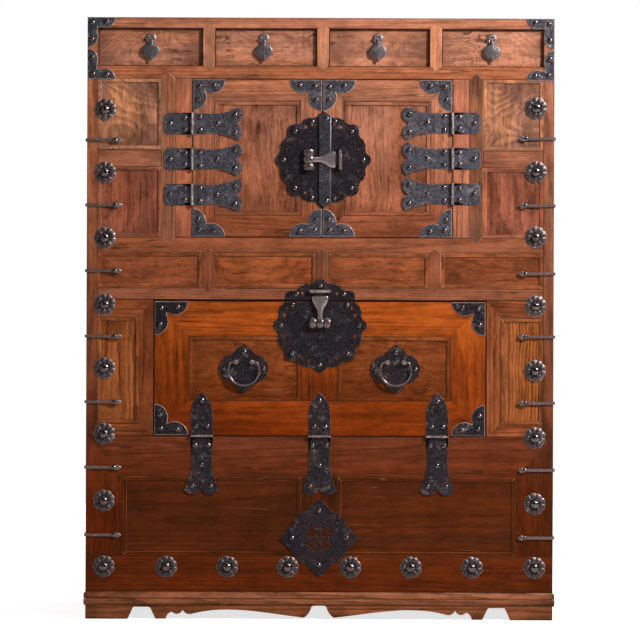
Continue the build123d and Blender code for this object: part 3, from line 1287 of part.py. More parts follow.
# ---------------------------------------------------------------- the chest
front_frame()
carcass()
base()
carcass_spots = top_corner_plates()
rosettes()
cleat_spots = cleats()
carcass_spots += diamond_plate()
door_spots, door_pins = door_frame_leaves()
flap_spots, flap_pins = flap_fixed_iron()
carcass_nails = nails(carcass_spots + door_spots + flap_spots, PLATE_T) + nails(cleat_spots, CLEAT_T)
save("carcass_nails", carcass_nails)
save("hinge_pins", door_pins + flap_pins)
for door_side in (-1, 1):
    door(door_side)
cover_strip()
door_hasp()
flap()
save("left_handle_bail", [bail(-HANDLE_X)])
save("right_handle_bail", [bail(HANDLE_X)])
drawers()
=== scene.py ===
import math

import bpy
import numpy as np
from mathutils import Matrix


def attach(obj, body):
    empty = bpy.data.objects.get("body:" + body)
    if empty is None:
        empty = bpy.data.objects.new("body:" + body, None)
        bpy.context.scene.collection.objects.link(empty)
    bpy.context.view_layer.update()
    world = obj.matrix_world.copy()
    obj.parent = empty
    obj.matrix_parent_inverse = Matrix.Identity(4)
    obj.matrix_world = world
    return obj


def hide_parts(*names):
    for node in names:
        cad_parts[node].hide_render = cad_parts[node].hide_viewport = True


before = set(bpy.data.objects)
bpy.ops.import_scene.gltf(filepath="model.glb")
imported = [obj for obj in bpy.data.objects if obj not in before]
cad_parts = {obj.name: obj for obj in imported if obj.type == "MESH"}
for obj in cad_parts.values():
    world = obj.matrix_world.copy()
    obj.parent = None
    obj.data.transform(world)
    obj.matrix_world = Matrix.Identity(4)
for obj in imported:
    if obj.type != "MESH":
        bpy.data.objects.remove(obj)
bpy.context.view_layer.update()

# ---------------------------------------------------------------- studio floor
# A wide flat sheet of matt white studio paper under the chest.
# It is not part of the chest.
FLOOR_X = (-9.0, 9.0)
FLOOR_Y = (-9.0, 3.5)
PAPER_COLOUR = (0.62, 0.62, 0.62, 1.0)
PAPER_GLOW = 0.75
WHITE = (1.0, 1.0, 1.0, 1.0)


def places_of(x, y, z):
    """Grid of places shaped rows x columns x 3, from three arrays spread over each other's rows and columns."""
    return np.stack(np.broadcast_arrays(x, y, z), axis=-1)


def smooth_mesh(name, points, faces, finishes):
    """Mesh of points and faces, shaded smooth, with its finishes."""
    mesh = bpy.data.meshes.new(name)
    mesh.from_pydata(points.tolist(), [], faces)
    mesh.polygons.foreach_set("use_smooth", np.ones(len(faces), dtype=bool))
    for finish in finishes:
        mesh.materials.append(finish)
    return mesh


def sheet_mesh(name, places, finish, closed=False):
    """Mesh of a grid of places. Each square joins a place with the next one along its row and the two beside them in
    the next row; a closed grid also joins the last with the first, both ways."""
    number = np.arange(places.shape[0] * places.shape[1]).reshape(places.shape[:2])
    beside, above = np.roll(number, -1, axis=1), np.roll(number, -1, axis=0)
    squares = np.stack([number, beside, np.roll(above, -1, axis=1), above], axis=-1)
    if not closed:
        squares = squares[:-1, :-1]
    return smooth_mesh(name, places.reshape(-1, 3), squares.reshape(-1, 4).tolist(), [finish])


def shown(name, data):
    """An object that holds some data, linked to the scene."""
    thing = bpy.data.objects.new(name, data)
    bpy.context.scene.collection.objects.link(thing)
    return thing


def fill(node, values):
    """Gives inputs of a node, by name or number, their values or the outputs that feed them."""
    for key, value in values.items():
        value = getattr(value, "socket", value)
        if isinstance(value, bpy.types.NodeSocket):
            node.id_data.links.new(value, node.inputs[key])
        else:
            node.inputs[key].default_value = value


def put(tree, kind, values=None, **settings):
    """Adds a node of a kind with its settings, and fills its inputs."""
    node = tree.nodes.new(kind)
    for key, value in settings.items():
        setattr(node, key, value)
    fill(node, values or {})
    return node


paper_finish = bpy.data.materials.new("white_paper")
paper_finish.use_nodes = True
paper_tree = paper_finish.node_tree
paper_seen = put(paper_tree, "ShaderNodeLightPath").outputs["Is Camera Ray"]
paper_glow = put(paper_tree, "ShaderNodeMath", {0: paper_seen, 1: PAPER_GLOW}, operation="MULTIPLY")
fill(paper_tree.nodes["Principled BSDF"], {
    "Base Color": PAPER_COLOUR, "Roughness": 0.9, "Specular IOR Level": 0.1, "Emission Color": WHITE,
    "Emission Strength": paper_glow.outputs[0]})
paper_x, paper_y = np.meshgrid(FLOOR_X, FLOOR_Y)
paper = shown("studio_paper", sheet_mesh("studio_paper", places_of(paper_x, paper_y, 0.0), paper_finish))

# ---------------------------------------------------------------- studio light
# One soft square lamp high on the right in front, weaker ones on the left, overhead and behind, all turned to the
# middle of the chest, in a room that looks white and is dimmer in front than behind. None is part of the chest.
LAMPS = (
    ("key_lamp", (2.3, -2.1, 2.6), 0.45, 162.0),
    ("left_lamp", (-4.6, -3.6, 2.2), 2.6, 10.0),
    ("top_lamp", (0.4, -1.6, 5.2), 2.0, 16.0),
    ("back_left_lamp", (-4.0, 4.6, 2.0), 2.4, 200.0),
    ("back_right_lamp", (4.2, 4.2, 1.8), 2.4, 120.0),
)
AIM = np.array([0.0, 0.0, 0.65])
ROOM_SEEN = 1.0
ROOM_FRONT, ROOM_BACK = -0.5, 0.6
ROOM_LIGHT_FRONT, ROOM_LIGHT_BACK = 0.032, 0.34

for lamp_name, lamp_place, lamp_size, lamp_power in LAMPS:
    light = bpy.data.lights.new(lamp_name, "AREA")
    light.shape = "SQUARE"
    light.size = lamp_size
    light.energy = lamp_power
    lamp = shown(lamp_name, light)
    lamp.location = lamp_place
    aim_x, aim_y, aim_z = AIM - np.array(lamp_place)
    lamp.rotation_euler = (math.atan2(math.hypot(aim_x, aim_y), -aim_z), 0.0, math.atan2(aim_y, aim_x) - math.pi / 2)
room = bpy.data.worlds.new("white_room")
bpy.context.scene.world = room
room.use_nodes = True
room_tree = room.node_tree
room_side = put(room_tree, "ShaderNodeTexCoord").outputs["Generated"]
room_depth = put(room_tree, "ShaderNodeSeparateXYZ", {0: room_side}).outputs[1]
room_light = put(room_tree, "ShaderNodeMapRange", {
    "Value": room_depth, "From Min": ROOM_FRONT, "From Max": ROOM_BACK, "To Min": ROOM_LIGHT_FRONT,
    "To Max": ROOM_LIGHT_BACK})
room_seen = put(room_tree, "ShaderNodeLightPath").outputs["Is Camera Ray"]
room_level = put(room_tree, "ShaderNodeMapRange", {
    "Value": room_seen, "To Min": room_light.outputs["Result"], "To Max": ROOM_SEEN})
fill(room_tree.nodes["Background"], {"Color": WHITE, "Strength": room_level.outputs["Result"]})

# ---------------------------------------------------------------- camera
# A long lens straight in front of the chest, level with its middle, turned by a quarter of a degree.
# The frame takes in the chest and a narrow white margin.
CAMERA_HEIGHT = 0.6414
CAMERA_DISTANCE = 6.0
CAMERA_ROLL_DEG = -0.23
SENSOR_WIDTH = 36.0
VIEW_WIDTH = 1.3699
VIEW_DEPTH = 60.0
FRONT_PLANE = -0.2237

camera_data = bpy.data.cameras.new("camera")
camera_data.sensor_width = SENSOR_WIDTH
camera_data.lens = SENSOR_WIDTH * CAMERA_DISTANCE / VIEW_WIDTH
camera_data.clip_end = VIEW_DEPTH
camera = shown("camera", camera_data)
camera.location = (0.0, FRONT_PLANE - CAMERA_DISTANCE, CAMERA_HEIGHT)
camera.rotation_euler = (math.pi / 2, math.radians(CAMERA_ROLL_DEG), 0.0)
bpy.context.scene.camera = camera
bpy.context.scene.view_settings.view_transform = "Standard"

# ---------------------------------------------------------------- carcass boards
# Two sides, top, shelves, drawer dividers and back of plain softwood boards, butted and pegged behind the front.
# They are stained thin and brown, paler than the front, with long straight grain and dull rubbed faces.
CARCASS_PALE = (124, 78, 56)
CARCASS_DEEP = (82, 46, 31)
GRAIN_STRENGTH, GRAIN_DEPTH = 0.45, 0.0006
OIL_TINT = (1.0, 0.5, 0.22, 1.0)
OIL_DULLNESS = 0.22
SHARP_EDGE = math.radians(32)
ARRIS_BOARD = 0.0012


def tone(red, green, blue):
    """A colour given as 0 to 255 on a screen, as the linear light the shader wants: the screen curve undone."""
    screen = np.array([red, green, blue]) / 255.0
    light = np.where(screen <= 0.04045, screen / 12.92, ((screen + 0.055) / 1.055) ** 2.4)
    return (*light.tolist(), 1.0)


class Signal:
    """What a node puts out, to reckon with. A sum, difference or product with a signal, a number or a triple adds one
    math node; a triple or a colour times a number is scaled by it."""

    def __init__(self, socket):
        self.socket = socket
        self.single = socket.type == "VALUE"

    def __add__(self, other):
        return reckoned("ADD", self, other)

    def __radd__(self, other):
        return reckoned("ADD", other, self)

    def __sub__(self, other):
        return reckoned("SUBTRACT", self, other)

    def __rsub__(self, other):
        return reckoned("SUBTRACT", other, self)

    def __mul__(self, other):
        return reckoned("MULTIPLY", self, other)

    def __rmul__(self, other):
        return reckoned("MULTIPLY", other, self)

    def __abs__(self):
        return reckoned("ABSOLUTE", self)


def signal(kind, values, output=0, **settings):
    """Signal of one output of a new node, in the tree of the first signal among its values."""
    tree = next(value.socket.id_data for value in values.values() if isinstance(value, Signal))
    return Signal(put(tree, kind, values, **settings).outputs[output])


def reckoned(operation, *terms):
    """Signal of a math node on its terms, a plain one where all of them are single numbers."""
    single = [getattr(term, "single", isinstance(term, float)) for term in terms]
    if all(single):
        return signal("ShaderNodeMath", dict(enumerate(terms)), operation=operation)
    if operation == "MULTIPLY" and single[1]:
        return signal("ShaderNodeVectorMath", {0: terms[0], "Scale": terms[1]}, operation="SCALE")
    output = "Value" if operation == "DOT_PRODUCT" else "Vector"
    return signal("ShaderNodeVectorMath", dict(enumerate(terms)), output, operation=operation)


def clamped(value):
    """The same signal, held between zero and one by its own node."""
    value.socket.node.use_clamp = True
    return value


def least(first, second):
    """The lesser of two numbers."""
    return reckoned("MINIMUM", first, second)


def most(first, second):
    """The greater of two numbers."""
    return reckoned("MAXIMUM", first, second)


def second_least(triple):
    """The second least of a triple's three numbers."""
    x, y, z = (Signal(part) for part in put(triple.socket.id_data, "ShaderNodeSeparateXYZ", {0: triple}).outputs)
    return most(least(x, y), least(most(x, y), z))


def band(value, low, high, out_low=0.0, out_high=1.0):
    """A value eased from out_low at low to out_high at high, smooth at both ends."""
    return signal("ShaderNodeMapRange", {
        "Value": value, "From Min": low, "From Max": high, "To Min": out_low, "To Max": out_high},
        interpolation_type="SMOOTHSTEP")


def noise(place, scale, detail=2.0, roughness=0.5, output="Fac"):
    """Noise at a place: one number, or three as a colour."""
    return signal(
        "ShaderNodeTexNoise", {"Vector": place, "Scale": scale, "Detail": detail, "Roughness": roughness}, output)


def mixed(share, first, second, blend="MIX"):
    """Two colours blended by a share."""
    return signal(
        "ShaderNodeMix", {0: share, 6: first, 7: second}, 2, data_type="RGBA", blend_type=blend, clamp_factor=True)


def source(tree, kind, output, **settings):
    """Signal of a node that reads something of the piece."""
    return Signal(put(tree, kind, **settings).outputs[output])


def group_of(name, **inputs):
    """A shader group with its named inputs, colours where four numbers are given, that puts out a colour, a gloss and
    a height. Returns its tree, the signals of its inputs and its output node."""
    tree = bpy.data.node_groups.new(name, "ShaderNodeTree")
    for label, value in inputs.items():
        kind = "NodeSocketColor" if isinstance(value, tuple) else "NodeSocketFloat"
        tree.interface.new_socket(label, in_out="INPUT", socket_type=kind).default_value = value
    for label, kind in (("Color", "NodeSocketColor"), ("Gloss", "NodeSocketFloat"), ("Height", "NodeSocketFloat")):
        tree.interface.new_socket(label, in_out="OUTPUT", socket_type=kind)
    given = {socket.name: Signal(socket) for socket in tree.nodes.new("NodeGroupInput").outputs}
    return tree, given, tree.nodes.new("NodeGroupOutput")


def wood_group():
    """Grain of one sawn board. A stretched noise field is cut into rings by its fraction, so rings nest in tongues as
    on a flat-sawn face; finer stretched noise gives fibres and short dark pores; the second least distance to the
    board's six faces gives grime along its edges; broad noise gives rubbed and dull places; thin level lines of noise
    give scratches."""
    tree, given, out = group_of(
        "sawn_board", pale=tone(170, 110, 80), deep=tone(110, 60, 40), flush=tone(170, 90, 50),
        smoke=tone(92, 62, 54), foot_tint=WHITE, foot_level=0.25, head_level=1.2, flush_share=0.5, smoke_share=0.5,
        ring_count=34.0, ring_depth=0.4, figure=9.0, length_share=0.035, waver=0.02, swirl=0.0, swirl_size=16.0,
        mottle=0.4, fibre=0.5, pores=0.4, flecks=0.15, fleck_size=230.0, cross_waves=0.0, contours=0.0, grime=0.85,
        scratches=0.3, board_spread=0.15, dullness=0.48)
    place = source(tree, "ShaderNodeTexCoord", "Object")
    middle, half, along = (
        source(tree, "ShaderNodeAttribute", "Vector", attribute_name="board_" + label)
        for label in ("middle", "half", "along"))
    chance = source(tree, "ShaderNodeAttribute", "Fac", attribute_name="board_chance")
    local = place - middle
    run = reckoned("DOT_PRODUCT", local, along)
    shift = (7.1, 3.3, 5.7) * chance
    free = local + shift
    seat = local - along * (run * (1.0 - given["length_share"])) + shift
    seat = seat + (noise(seat, 5.0, output="Color") - (0.5, 0.5, 0.5)) * given["waver"]
    curl = (noise(free, given["swirl_size"], 2.5, 0.55, "Color") - (0.5, 0.5, 0.5)) * given["swirl"]
    seat = seat + curl

    def drawn_out(held, curled):
        """Places with the run along the board held back, so that noise there is drawn out along the grain."""
        return local - along * (run * held) + shift + curl * curled

    turn = reckoned("FRACT", noise(seat, given["figure"], 1.5, 0.4) * given["ring_count"])
    ring = band(turn, 0.30, 0.90) * band(turn, 1.0, 0.92)
    thin = drawn_out(0.985, 0.6)
    fibre = noise(thin, 170.0, 3.0, 0.6) * 0.65 + noise(thin, 460.0, 3.0, 0.7) * 0.35
    pore = band(noise(drawn_out(0.94, 0.6), 780.0, 1.0), 0.60, 0.72) * (0.35 + ring)
    short = drawn_out(0.72, 1.2)
    fleck = band(noise(short, given["fleck_size"], 2.0, 0.6), 0.52, 0.68) * band(noise(free, 30.0), 0.38, 0.60)
    ripple = reckoned("SINE", run * 420.0 + noise(free, 15.0) * 26.0)
    ripple = ripple * band(noise(free, 11.0, 1.0), 0.42, 0.62) * given["cross_waves"]
    hill = noise(free + curl * 0.5, 6.5, 1.0, 0.3) + noise(free, 60.0, 1.0, 0.4) * 0.022
    level = reckoned("FRACT", hill * 30.0)
    contour = band(level, 0.10, 0.85) * band(level, 1.0, 0.90) * given["contours"]
    broad = noise(free, 9.0, 3.0, 0.6)
    cloud = noise(seat, 26.0, 3.0, 0.6)
    streak = band(cloud, 0.35, 0.75)
    edge, slim = second_least(half - abs(local)), second_least(half)
    seam = band(edge, least(0.0021, slim * 0.24), 0.0002)
    soil = band(edge, least(0.012, slim * 0.3), 0.0) * band(noise(free, 34.0, 4.0, 0.6), 0.35, 0.65)
    check = band(abs(cloud - 0.5), 0.012, 0.004) * band(noise(free + (5.0, 2.0, 8.0), 12.0), 0.53, 0.60)
    dark = most(most(seam * 0.95, soil * 0.25), check * 0.75) * given["grime"]
    mark = noise(free * (0.05, 1.0, 1.0), 42.0, 1.0)
    scratch = band(abs(mark - 0.5), 0.0045, 0.0) * band(noise(free, 13.0, 2.0, 0.6), 0.52, 0.66)
    share = ring * given["ring_depth"] + streak * (given["ring_depth"] * 0.5)
    share = share + (fibre - 0.5) * (given["fibre"] * 4.6) + pore * given["pores"]
    share = clamped(share + (ripple * 0.5 + contour) + fleck * given["flecks"])
    flush = band(noise(seat + (4.0, 9.0, 2.0), 7.0, 3.0, 0.6), 0.42, 0.62)
    pale = mixed(flush * given["flush_share"], given["pale"], given["flush"])
    colour = mixed(share, pale, given["deep"])
    end = reckoned("DOT_PRODUCT", half, abs(along)) - abs(run)
    smoke = noise(seat, 16.0, 4.0, 0.62) + band(end, 0.07, 0.0, 0.0, 0.16)
    colour = mixed(band(smoke, 0.50, 0.70) * given["smoke_share"], colour, given["smoke"])
    value = (broad - 0.5) * (given["mottle"] * 3.0) + (chance - 0.5) * given["board_spread"]
    value = value + (noise(short, 95.0, 5.0, 0.75) - 0.5) * 2.0 + 1.0
    colour = colour * value
    # Painted shade: below head_level the colour is multiplied by the foot tint, fully at foot_level, so the wood
    # darkens and reddens toward the floor as the light falls off downward.
    from_floor = signal("ShaderNodeSeparateXYZ", {0: place}, "Z")
    from_foot = signal("ShaderNodeMapRange", {
        "Value": from_floor, "From Min": given["foot_level"], "From Max": given["head_level"]})
    colour = mixed(from_foot, mixed(1.0, colour, given["foot_tint"], "MULTIPLY"), colour)
    colour = mixed(dark, colour, tone(26, 14, 11))
    bare = mixed(1.0, colour, (0.16, 0.10, 0.07, 1.0), "ADD")
    colour = mixed(scratch * given["scratches"], colour, bare)
    gloss = clamped(given["dullness"] + (broad - 0.5) * 0.35 + dark * 0.3 + pore * 0.15)
    height = fibre * 0.35 - pore * 0.5 - ring * 0.25 - seam * 0.9 - scratch * 0.5
    fill(out, {"Color": colour, "Gloss": gloss, "Height": height})
    return tree


SAWN_BOARD = wood_group()


def finished(name, group, strength, relief, given, own):
    """Material that takes its colour, gloss and height from a shared group with the given inputs, and the rest from
    its own values on the shader."""
    made = bpy.data.materials.new(name)
    made.use_nodes = True
    face = put(made.node_tree, "ShaderNodeGroup", given, node_tree=group)
    rise = put(made.node_tree, "ShaderNodeBump", {
        "Height": face.outputs["Height"], "Strength": strength, "Distance": relief})
    fill(made.node_tree.nodes["Principled BSDF"], {
        "Base Color": face.outputs["Color"], "Roughness": face.outputs["Gloss"], "Normal": rise.outputs["Normal"],
        **own})
    return made


def wood(name, pale, deep, flush, smoke, coat=0.04, shine=0.3, **given):
    """Material of one kind of board: its own colours and figure in the shared grain, under thin rubbed oil."""
    given.update(pale=tone(*pale), deep=tone(*deep), flush=tone(*flush), smoke=tone(*smoke))
    return finished(name, SAWN_BOARD, GRAIN_STRENGTH, GRAIN_DEPTH, given, {
        "Specular IOR Level": shine, "Specular Tint": OIL_TINT, "Coat Weight": coat, "Coat Roughness": OIL_DULLNESS})


def solids_of(mesh):
    """Places, corner numbers of the triangles, and the solid that each triangle belongs to. Each edge of a closed
    solid has two triangles, so the running exclusive-or of random numbers given to the edges is zero again where a
    solid ends."""
    count = len(mesh.vertices)
    places = np.empty(count * 3, dtype=np.float32)
    mesh.vertices.foreach_get("co", places)
    places = places.reshape(-1, 3)
    corners = np.empty(len(mesh.loops), dtype=np.int64)
    mesh.loops.foreach_get("vertex_index", corners)
    corners = corners.reshape(-1, 3)
    _, first, key = np.unique(np.round(places * 1e6).astype(np.int64), axis=0, return_index=True, return_inverse=True)
    shared = key.reshape(-1)[corners]
    following = np.roll(shared, -1, axis=1)
    edge = np.minimum(shared, following) * count + np.maximum(shared, following)
    _, edge_number = np.unique(edge, return_inverse=True)
    code = np.random.default_rng(7).integers(1, 2 ** 62, size=edge_number.max() + 1)
    marks = np.where(shared == following, 0, code[edge_number.reshape(edge.shape)])
    running = np.bitwise_xor.accumulate(np.bitwise_xor.reduce(marks, axis=1))
    solid = np.concatenate([[0], np.cumsum(running == 0)[:-1]])
    return places[first], shared, solid


def boxes_of(points, owner):
    """Middle and half size of the box round the points of each owner."""
    low = np.full((owner.max() + 1, 3), np.inf)
    high = -low
    np.minimum.at(low, owner, points)
    np.maximum.at(high, owner, points)
    return (low + high) / 2, (high - low) / 2


def shaped(mesh, body, node=None):
    """Puts a mesh in the scene on its body and slot; node is the CAD node that it stands for, if any."""
    piece = shown(mesh.name, mesh)
    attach(piece, body)
    if node:
        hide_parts(node)
    return piece


def dressed(node, body, finishes, finish_of=None, along_of=None, kept_of=None, arris=0.0006, edge_finish=None,
            seed=3):
    """Copy of a CAD node with each solid welded by itself and its sharp edges rounded. Every point keeps its solid's
    middle, half size, grain direction (the longest side, or what along_of gives) and a chance number. finish_of gives
    each solid one of the finishes, kept_of says which solids stay, and edge_finish is for the rounded edges alone."""
    places, corners, solid = solids_of(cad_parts[node].data)
    kept, local = np.unique(solid[:, None] * len(places) + corners, return_inverse=True)
    local = local.reshape(corners.shape)
    owner = kept // len(places)
    points = places[kept % len(places)].astype(np.float64)
    whole = (local != np.roll(local, 1, axis=1)).all(axis=1)
    local, solid = local[whole], solid[whole]
    middle, half = boxes_of(points, owner)
    if kept_of:
        stays = kept_of(middle, half)[solid]
        local, solid = local[stays], solid[stays]
        used, local = np.unique(local, return_inverse=True)
        local = local.reshape(-1, 3)
        points, owner = points[used], owner[used]
    along = np.eye(3)[np.argmax(half, axis=1)]
    if along_of:
        along = along_of(middle, half, along)
    mesh = smooth_mesh(node + "_dressed", points, local.tolist(), finishes)
    for label, values in (("board_middle", middle), ("board_half", half), ("board_along", along)):
        held = mesh.attributes.new(label, "FLOAT_VECTOR", "POINT")
        held.data.foreach_set("vector", values[owner].astype(np.float32).ravel())
    chance = np.random.default_rng(seed + len(node)).random(len(middle))
    held = mesh.attributes.new("board_chance", "FLOAT", "POINT")
    held.data.foreach_set("value", chance[owner].astype(np.float32))
    if finish_of:
        mesh.polygons.foreach_set("material_index", finish_of(middle, half)[solid].astype(np.int32))
    mesh.set_sharp_from_angle(angle=SHARP_EDGE)
    if edge_finish:
        mesh.materials.append(edge_finish)
    rounding = shaped(mesh, body, node).modifiers.new("rounded_edges", "BEVEL")
    rounding.width = arris
    rounding.segments = 2
    rounding.limit_method = "ANGLE"
    rounding.angle_limit = SHARP_EDGE
    rounding.harden_normals = True
    if edge_finish:
        rounding.material = len(mesh.materials) - 1


carcass_wood = wood(
    "stained_softwood", CARCASS_PALE, CARCASS_DEEP, (132, 76, 46), (70, 46, 38), coat=0.0, shine=0.14,
    ring_count=42.0, ring_depth=0.5, figure=4.0, length_share=0.04, mottle=0.35, fibre=0.35, pores=0.15, flecks=0.1,
    grime=0.7, scratches=0.35, dullness=0.68)
for board_node in (
        "side_boards", "top_board", "shelf_boards", "back_boards", "drawer_partitions", "door_and_flap_stops"):
    dressed(board_node, "carcass", [carcass_wood], arris=ARRIS_BOARD)

# ---------------------------------------------------------------- base
# A stepped moulding runs round the foot of the carcass over sawn aprons with cusped lower edges.
# The aprons are one board each, pegged to the carcass, scratched pale in places and painted darker along the floor as
# shade.
base_wood = wood(
    "foot_board", (182, 116, 86), (80, 38, 19), (166, 94, 54), (64, 36, 24), foot_tint=(0.6, 0.5, 0.36, 1.0),
    foot_level=0.034, head_level=0.05, smoke_share=0.6, ring_count=30.0, ring_depth=0.45, figure=8.0,
    length_share=0.04, mottle=0.5, fibre=0.45, flecks=0.3, grime=0.3, scratches=0.7, dullness=0.5)
for board_node in ("base_moulding", "front_apron", "side_and_back_aprons"):
    dressed(board_node, "carcass", [base_wood], arris=ARRIS_BOARD)

# ---------------------------------------------------------------- front frame
# Stiles, rails and short uprights of close-grained fruitwood, tenoned together, with pointed ends on the uprights.
# Their colour is painted darker and redder toward the floor and paler near the top, as shade where the light falls
# off downward.
frame_wood = wood(
    "front_frame_board", (178, 113, 85), (106, 60, 42), (182, 97, 52), (94, 57, 45),
    foot_tint=(0.28, 0.105, 0.014, 1.0), mottle=0.34, fibre=0.45, pores=0.25, scratches=0.4, board_spread=0.3)
divider_wood = wood(
    "divider_board", (214, 146, 114), (150, 92, 66), (208, 126, 78), (122, 80, 64), ring_depth=0.3, mottle=0.3,
    pores=0.2, flecks=0.1)
post_wood = wood(
    "dark_post_board", (146, 94, 70), (92, 54, 38), (150, 84, 50), (84, 56, 46), smoke_share=0.7, pores=0.25,
    flecks=0.2, board_spread=0.1)
jamb_wood = wood(
    "door_jamb_board", (186, 114, 87), (128, 70, 48), (180, 98, 59), (105, 62, 48), ring_depth=0.35, mottle=0.35,
    pores=0.25, board_spread=0.1)
# Paler wood on the rounded arrises of stiles and uprights: partly wear, partly a painted highlight where the light
# catches the edges, fading darker toward the foot as painted shade.
worn_edge_highlight_wood = wood(
    "worn_upright_edge_highlight", (212, 152, 124), (140, 86, 62), (206, 134, 92), (110, 70, 56),
    foot_tint=(0.2, 0.08, 0.02, 1.0), foot_level=0.2, head_level=1.0, ring_depth=0.3, mottle=0.8, flecks=0.2,
    grime=0.3, dullness=0.5)
foot_panel = wood(
    "dark_foot_panel", (80, 31, 9), (40, 13, 3), (96, 38, 9), (50, 23, 12), ring_count=26.0, ring_depth=0.35,
    figure=5.0, length_share=0.05, waver=0.03, fibre=0.3, pores=0.2, grime=0.5, scratches=0.9, dullness=0.4)
ARRIS_RAIL = 0.0008
POST_FROM_MIDDLE = 0.27
POST_HALF_WIDTH = 0.0145
POST_ALLOWANCE = 0.0005
DRAWER_ROW = 1.2
FOOT_ROW = 0.25
DOOR_ROW = 0.80


def upright_finish(middle, half):
    """Finish number of an upright: 1 in the drawer row, 2 for the pointed posts beside the doors, 3 at the foot, 4
    for the doors' jambs, 0 for the others."""
    post = (np.abs(middle[:, 0]) > POST_FROM_MIDDLE) & (np.abs(half[:, 0] - POST_HALF_WIDTH) < POST_ALLOWANCE)
    level = middle[:, 2]
    return np.select([level > DRAWER_ROW, post, level < FOOT_ROW, level > DOOR_ROW], [1, 2, 3, 4], 0)


dressed("front_rails", "carcass", [frame_wood], arris=ARRIS_RAIL)
dressed("front_stiles", "carcass", [frame_wood], arris=ARRIS_BOARD, edge_finish=worn_edge_highlight_wood)
upright_woods = [frame_wood, divider_wood, post_wood, foot_panel, jamb_wood]
dressed("front_uprights", "carcass", upright_woods, upright_finish, arris=ARRIS_BOARD,
        edge_finish=worn_edge_highlight_wood)
surround_wood = wood(
    "flap_surround_board", (150, 80, 46), (84, 36, 16), (158, 76, 30), (78, 40, 26), coat=0.05, ring_depth=0.45,
    figure=8.0, length_share=0.05, fibre=0.45, pores=0.3, flecks=0.2, scratches=0.4, board_spread=0.2, dullness=0.44)
dressed("flap_surround_boards", "carcass", [surround_wood])

# ---------------------------------------------------------------- front panels
# Thin floating panels in grooves, each edged by a narrow mitred bead, picked for their figure: wild grain beside the
# doors, speckled knotty veneers in the frieze, straight dark boards at the foot.
SIDE_PANEL_FOOT = 0.97
LOWER_SIDE_PANEL_FOOT = 0.80
FRIEZE_FOOT = 0.70
FLAP_SIDE_FOOT = 0.39
ARRIS_BEAD = 0.0011
wild_panel = wood(
    "wild_figured_panel", (186, 128, 102), (106, 62, 46), (200, 132, 86), (116, 78, 66), coat=0.06, flush_share=0.7,
    smoke_share=0.75, ring_count=20.0, ring_depth=0.12, figure=5.0, length_share=0.25, waver=0.04, swirl=0.02,
    swirl_size=9.0, mottle=0.5, fibre=0.4, pores=0.3, flecks=0.25, contours=0.5, grime=0.6, board_spread=0.25,
    dullness=0.46)
redder_panel = wood(
    "lower_side_panel", (164, 94, 70), (84, 40, 27), (166, 82, 50), (92, 52, 42), coat=0.06, ring_depth=0.35,
    figure=5.0, length_share=0.1, waver=0.03, swirl=0.015, swirl_size=9.0, mottle=0.5, fibre=0.4, pores=0.3,
    flecks=0.45, contours=0.12, grime=0.6, board_spread=0.2, dullness=0.46)
speckled_panel = wood(
    "speckled_frieze_panel", (148, 79, 47), (72, 31, 13), (168, 87, 43), (86, 45, 28), coat=0.06, ring_count=36.0,
    ring_depth=0.24, figure=6.0, length_share=0.25, waver=0.05, swirl=0.025, swirl_size=14.0, mottle=0.6, pores=0.5,
    flecks=0.42, fleck_size=360.0, grime=0.6, board_spread=0.2, dullness=0.44)
ochre_panel = wood(
    "ochre_side_panel", (160, 90, 48), (90, 40, 16), (170, 92, 38), (90, 44, 22), coat=0.06, ring_count=46.0,
    ring_depth=0.55, figure=5.0, length_share=0.1, waver=0.05, swirl=0.015, swirl_size=10.0, mottle=0.35, fibre=0.45,
    flecks=0.3, grime=0.6, board_spread=0.2, dullness=0.42)


def front_panel_finish(middle, half):
    """Finish number by height: 0 and 1 beside the doors, 2 in the frieze, 3 beside the flap, 4 at the foot."""
    limits = np.array([SIDE_PANEL_FOOT, LOWER_SIDE_PANEL_FOOT, FRIEZE_FOOT, FLAP_SIDE_FOOT])
    return np.sum(middle[:, 2, None] < limits, axis=1)


# Paler wood on the rounded arrises of the beads: a painted highlight where the light catches them, darker toward the
# foot as painted shade.
bead_edge_highlight_wood = wood(
    "bead_edge_highlight", (204, 138, 100), (138, 82, 54), (198, 122, 74), (110, 68, 50),
    foot_tint=(0.44, 0.26, 0.08, 1.0), foot_level=0.2, head_level=1.0, ring_depth=0.3, mottle=0.8, flecks=0.2,
    grime=0.3, dullness=0.5)
front_panel_woods = [wild_panel, redder_panel, speckled_panel, ochre_panel, foot_panel]
dressed("front_panels", "carcass", front_panel_woods, front_panel_finish, arris=ARRIS_BEAD,
        edge_finish=bead_edge_highlight_wood)

# ---------------------------------------------------------------- doors
# Two mitred door frames with a single panel each, the panels cut from one burred plank and set upright.
# Their frames are the rosiest wood of the front.
BROAD_PANEL_HALF = 0.05
# Both door woods are painted darker and redder toward the foot of the doors, as shade where the light falls off
# downward.
door_frame_wood = wood(
    "door_frame_board", (184, 119, 91), (114, 63, 41), (188, 104, 58), (104, 64, 49),
    foot_tint=(0.58, 0.43, 0.33, 1.0), foot_level=0.84, head_level=1.1, ring_count=30.0, figure=10.0, waver=0.015,
    mottle=0.34, fibre=0.45, pores=0.25, board_spread=0.2, dullness=0.46)
door_panel_wood = wood(
    "burred_door_panel", (170, 110, 86), (86, 44, 31), (178, 100, 62), (104, 69, 56), coat=0.06,
    foot_tint=(0.8, 0.62, 0.5, 1.0), foot_level=0.86, head_level=1.08, ring_depth=0.22, figure=6.0, length_share=0.12,
    waver=0.05, swirl=0.016, swirl_size=12.0, mottle=0.6, fibre=0.55, pores=0.5, flecks=0.5, fleck_size=340.0,
    grime=0.6, board_spread=0.1, dullness=0.44)


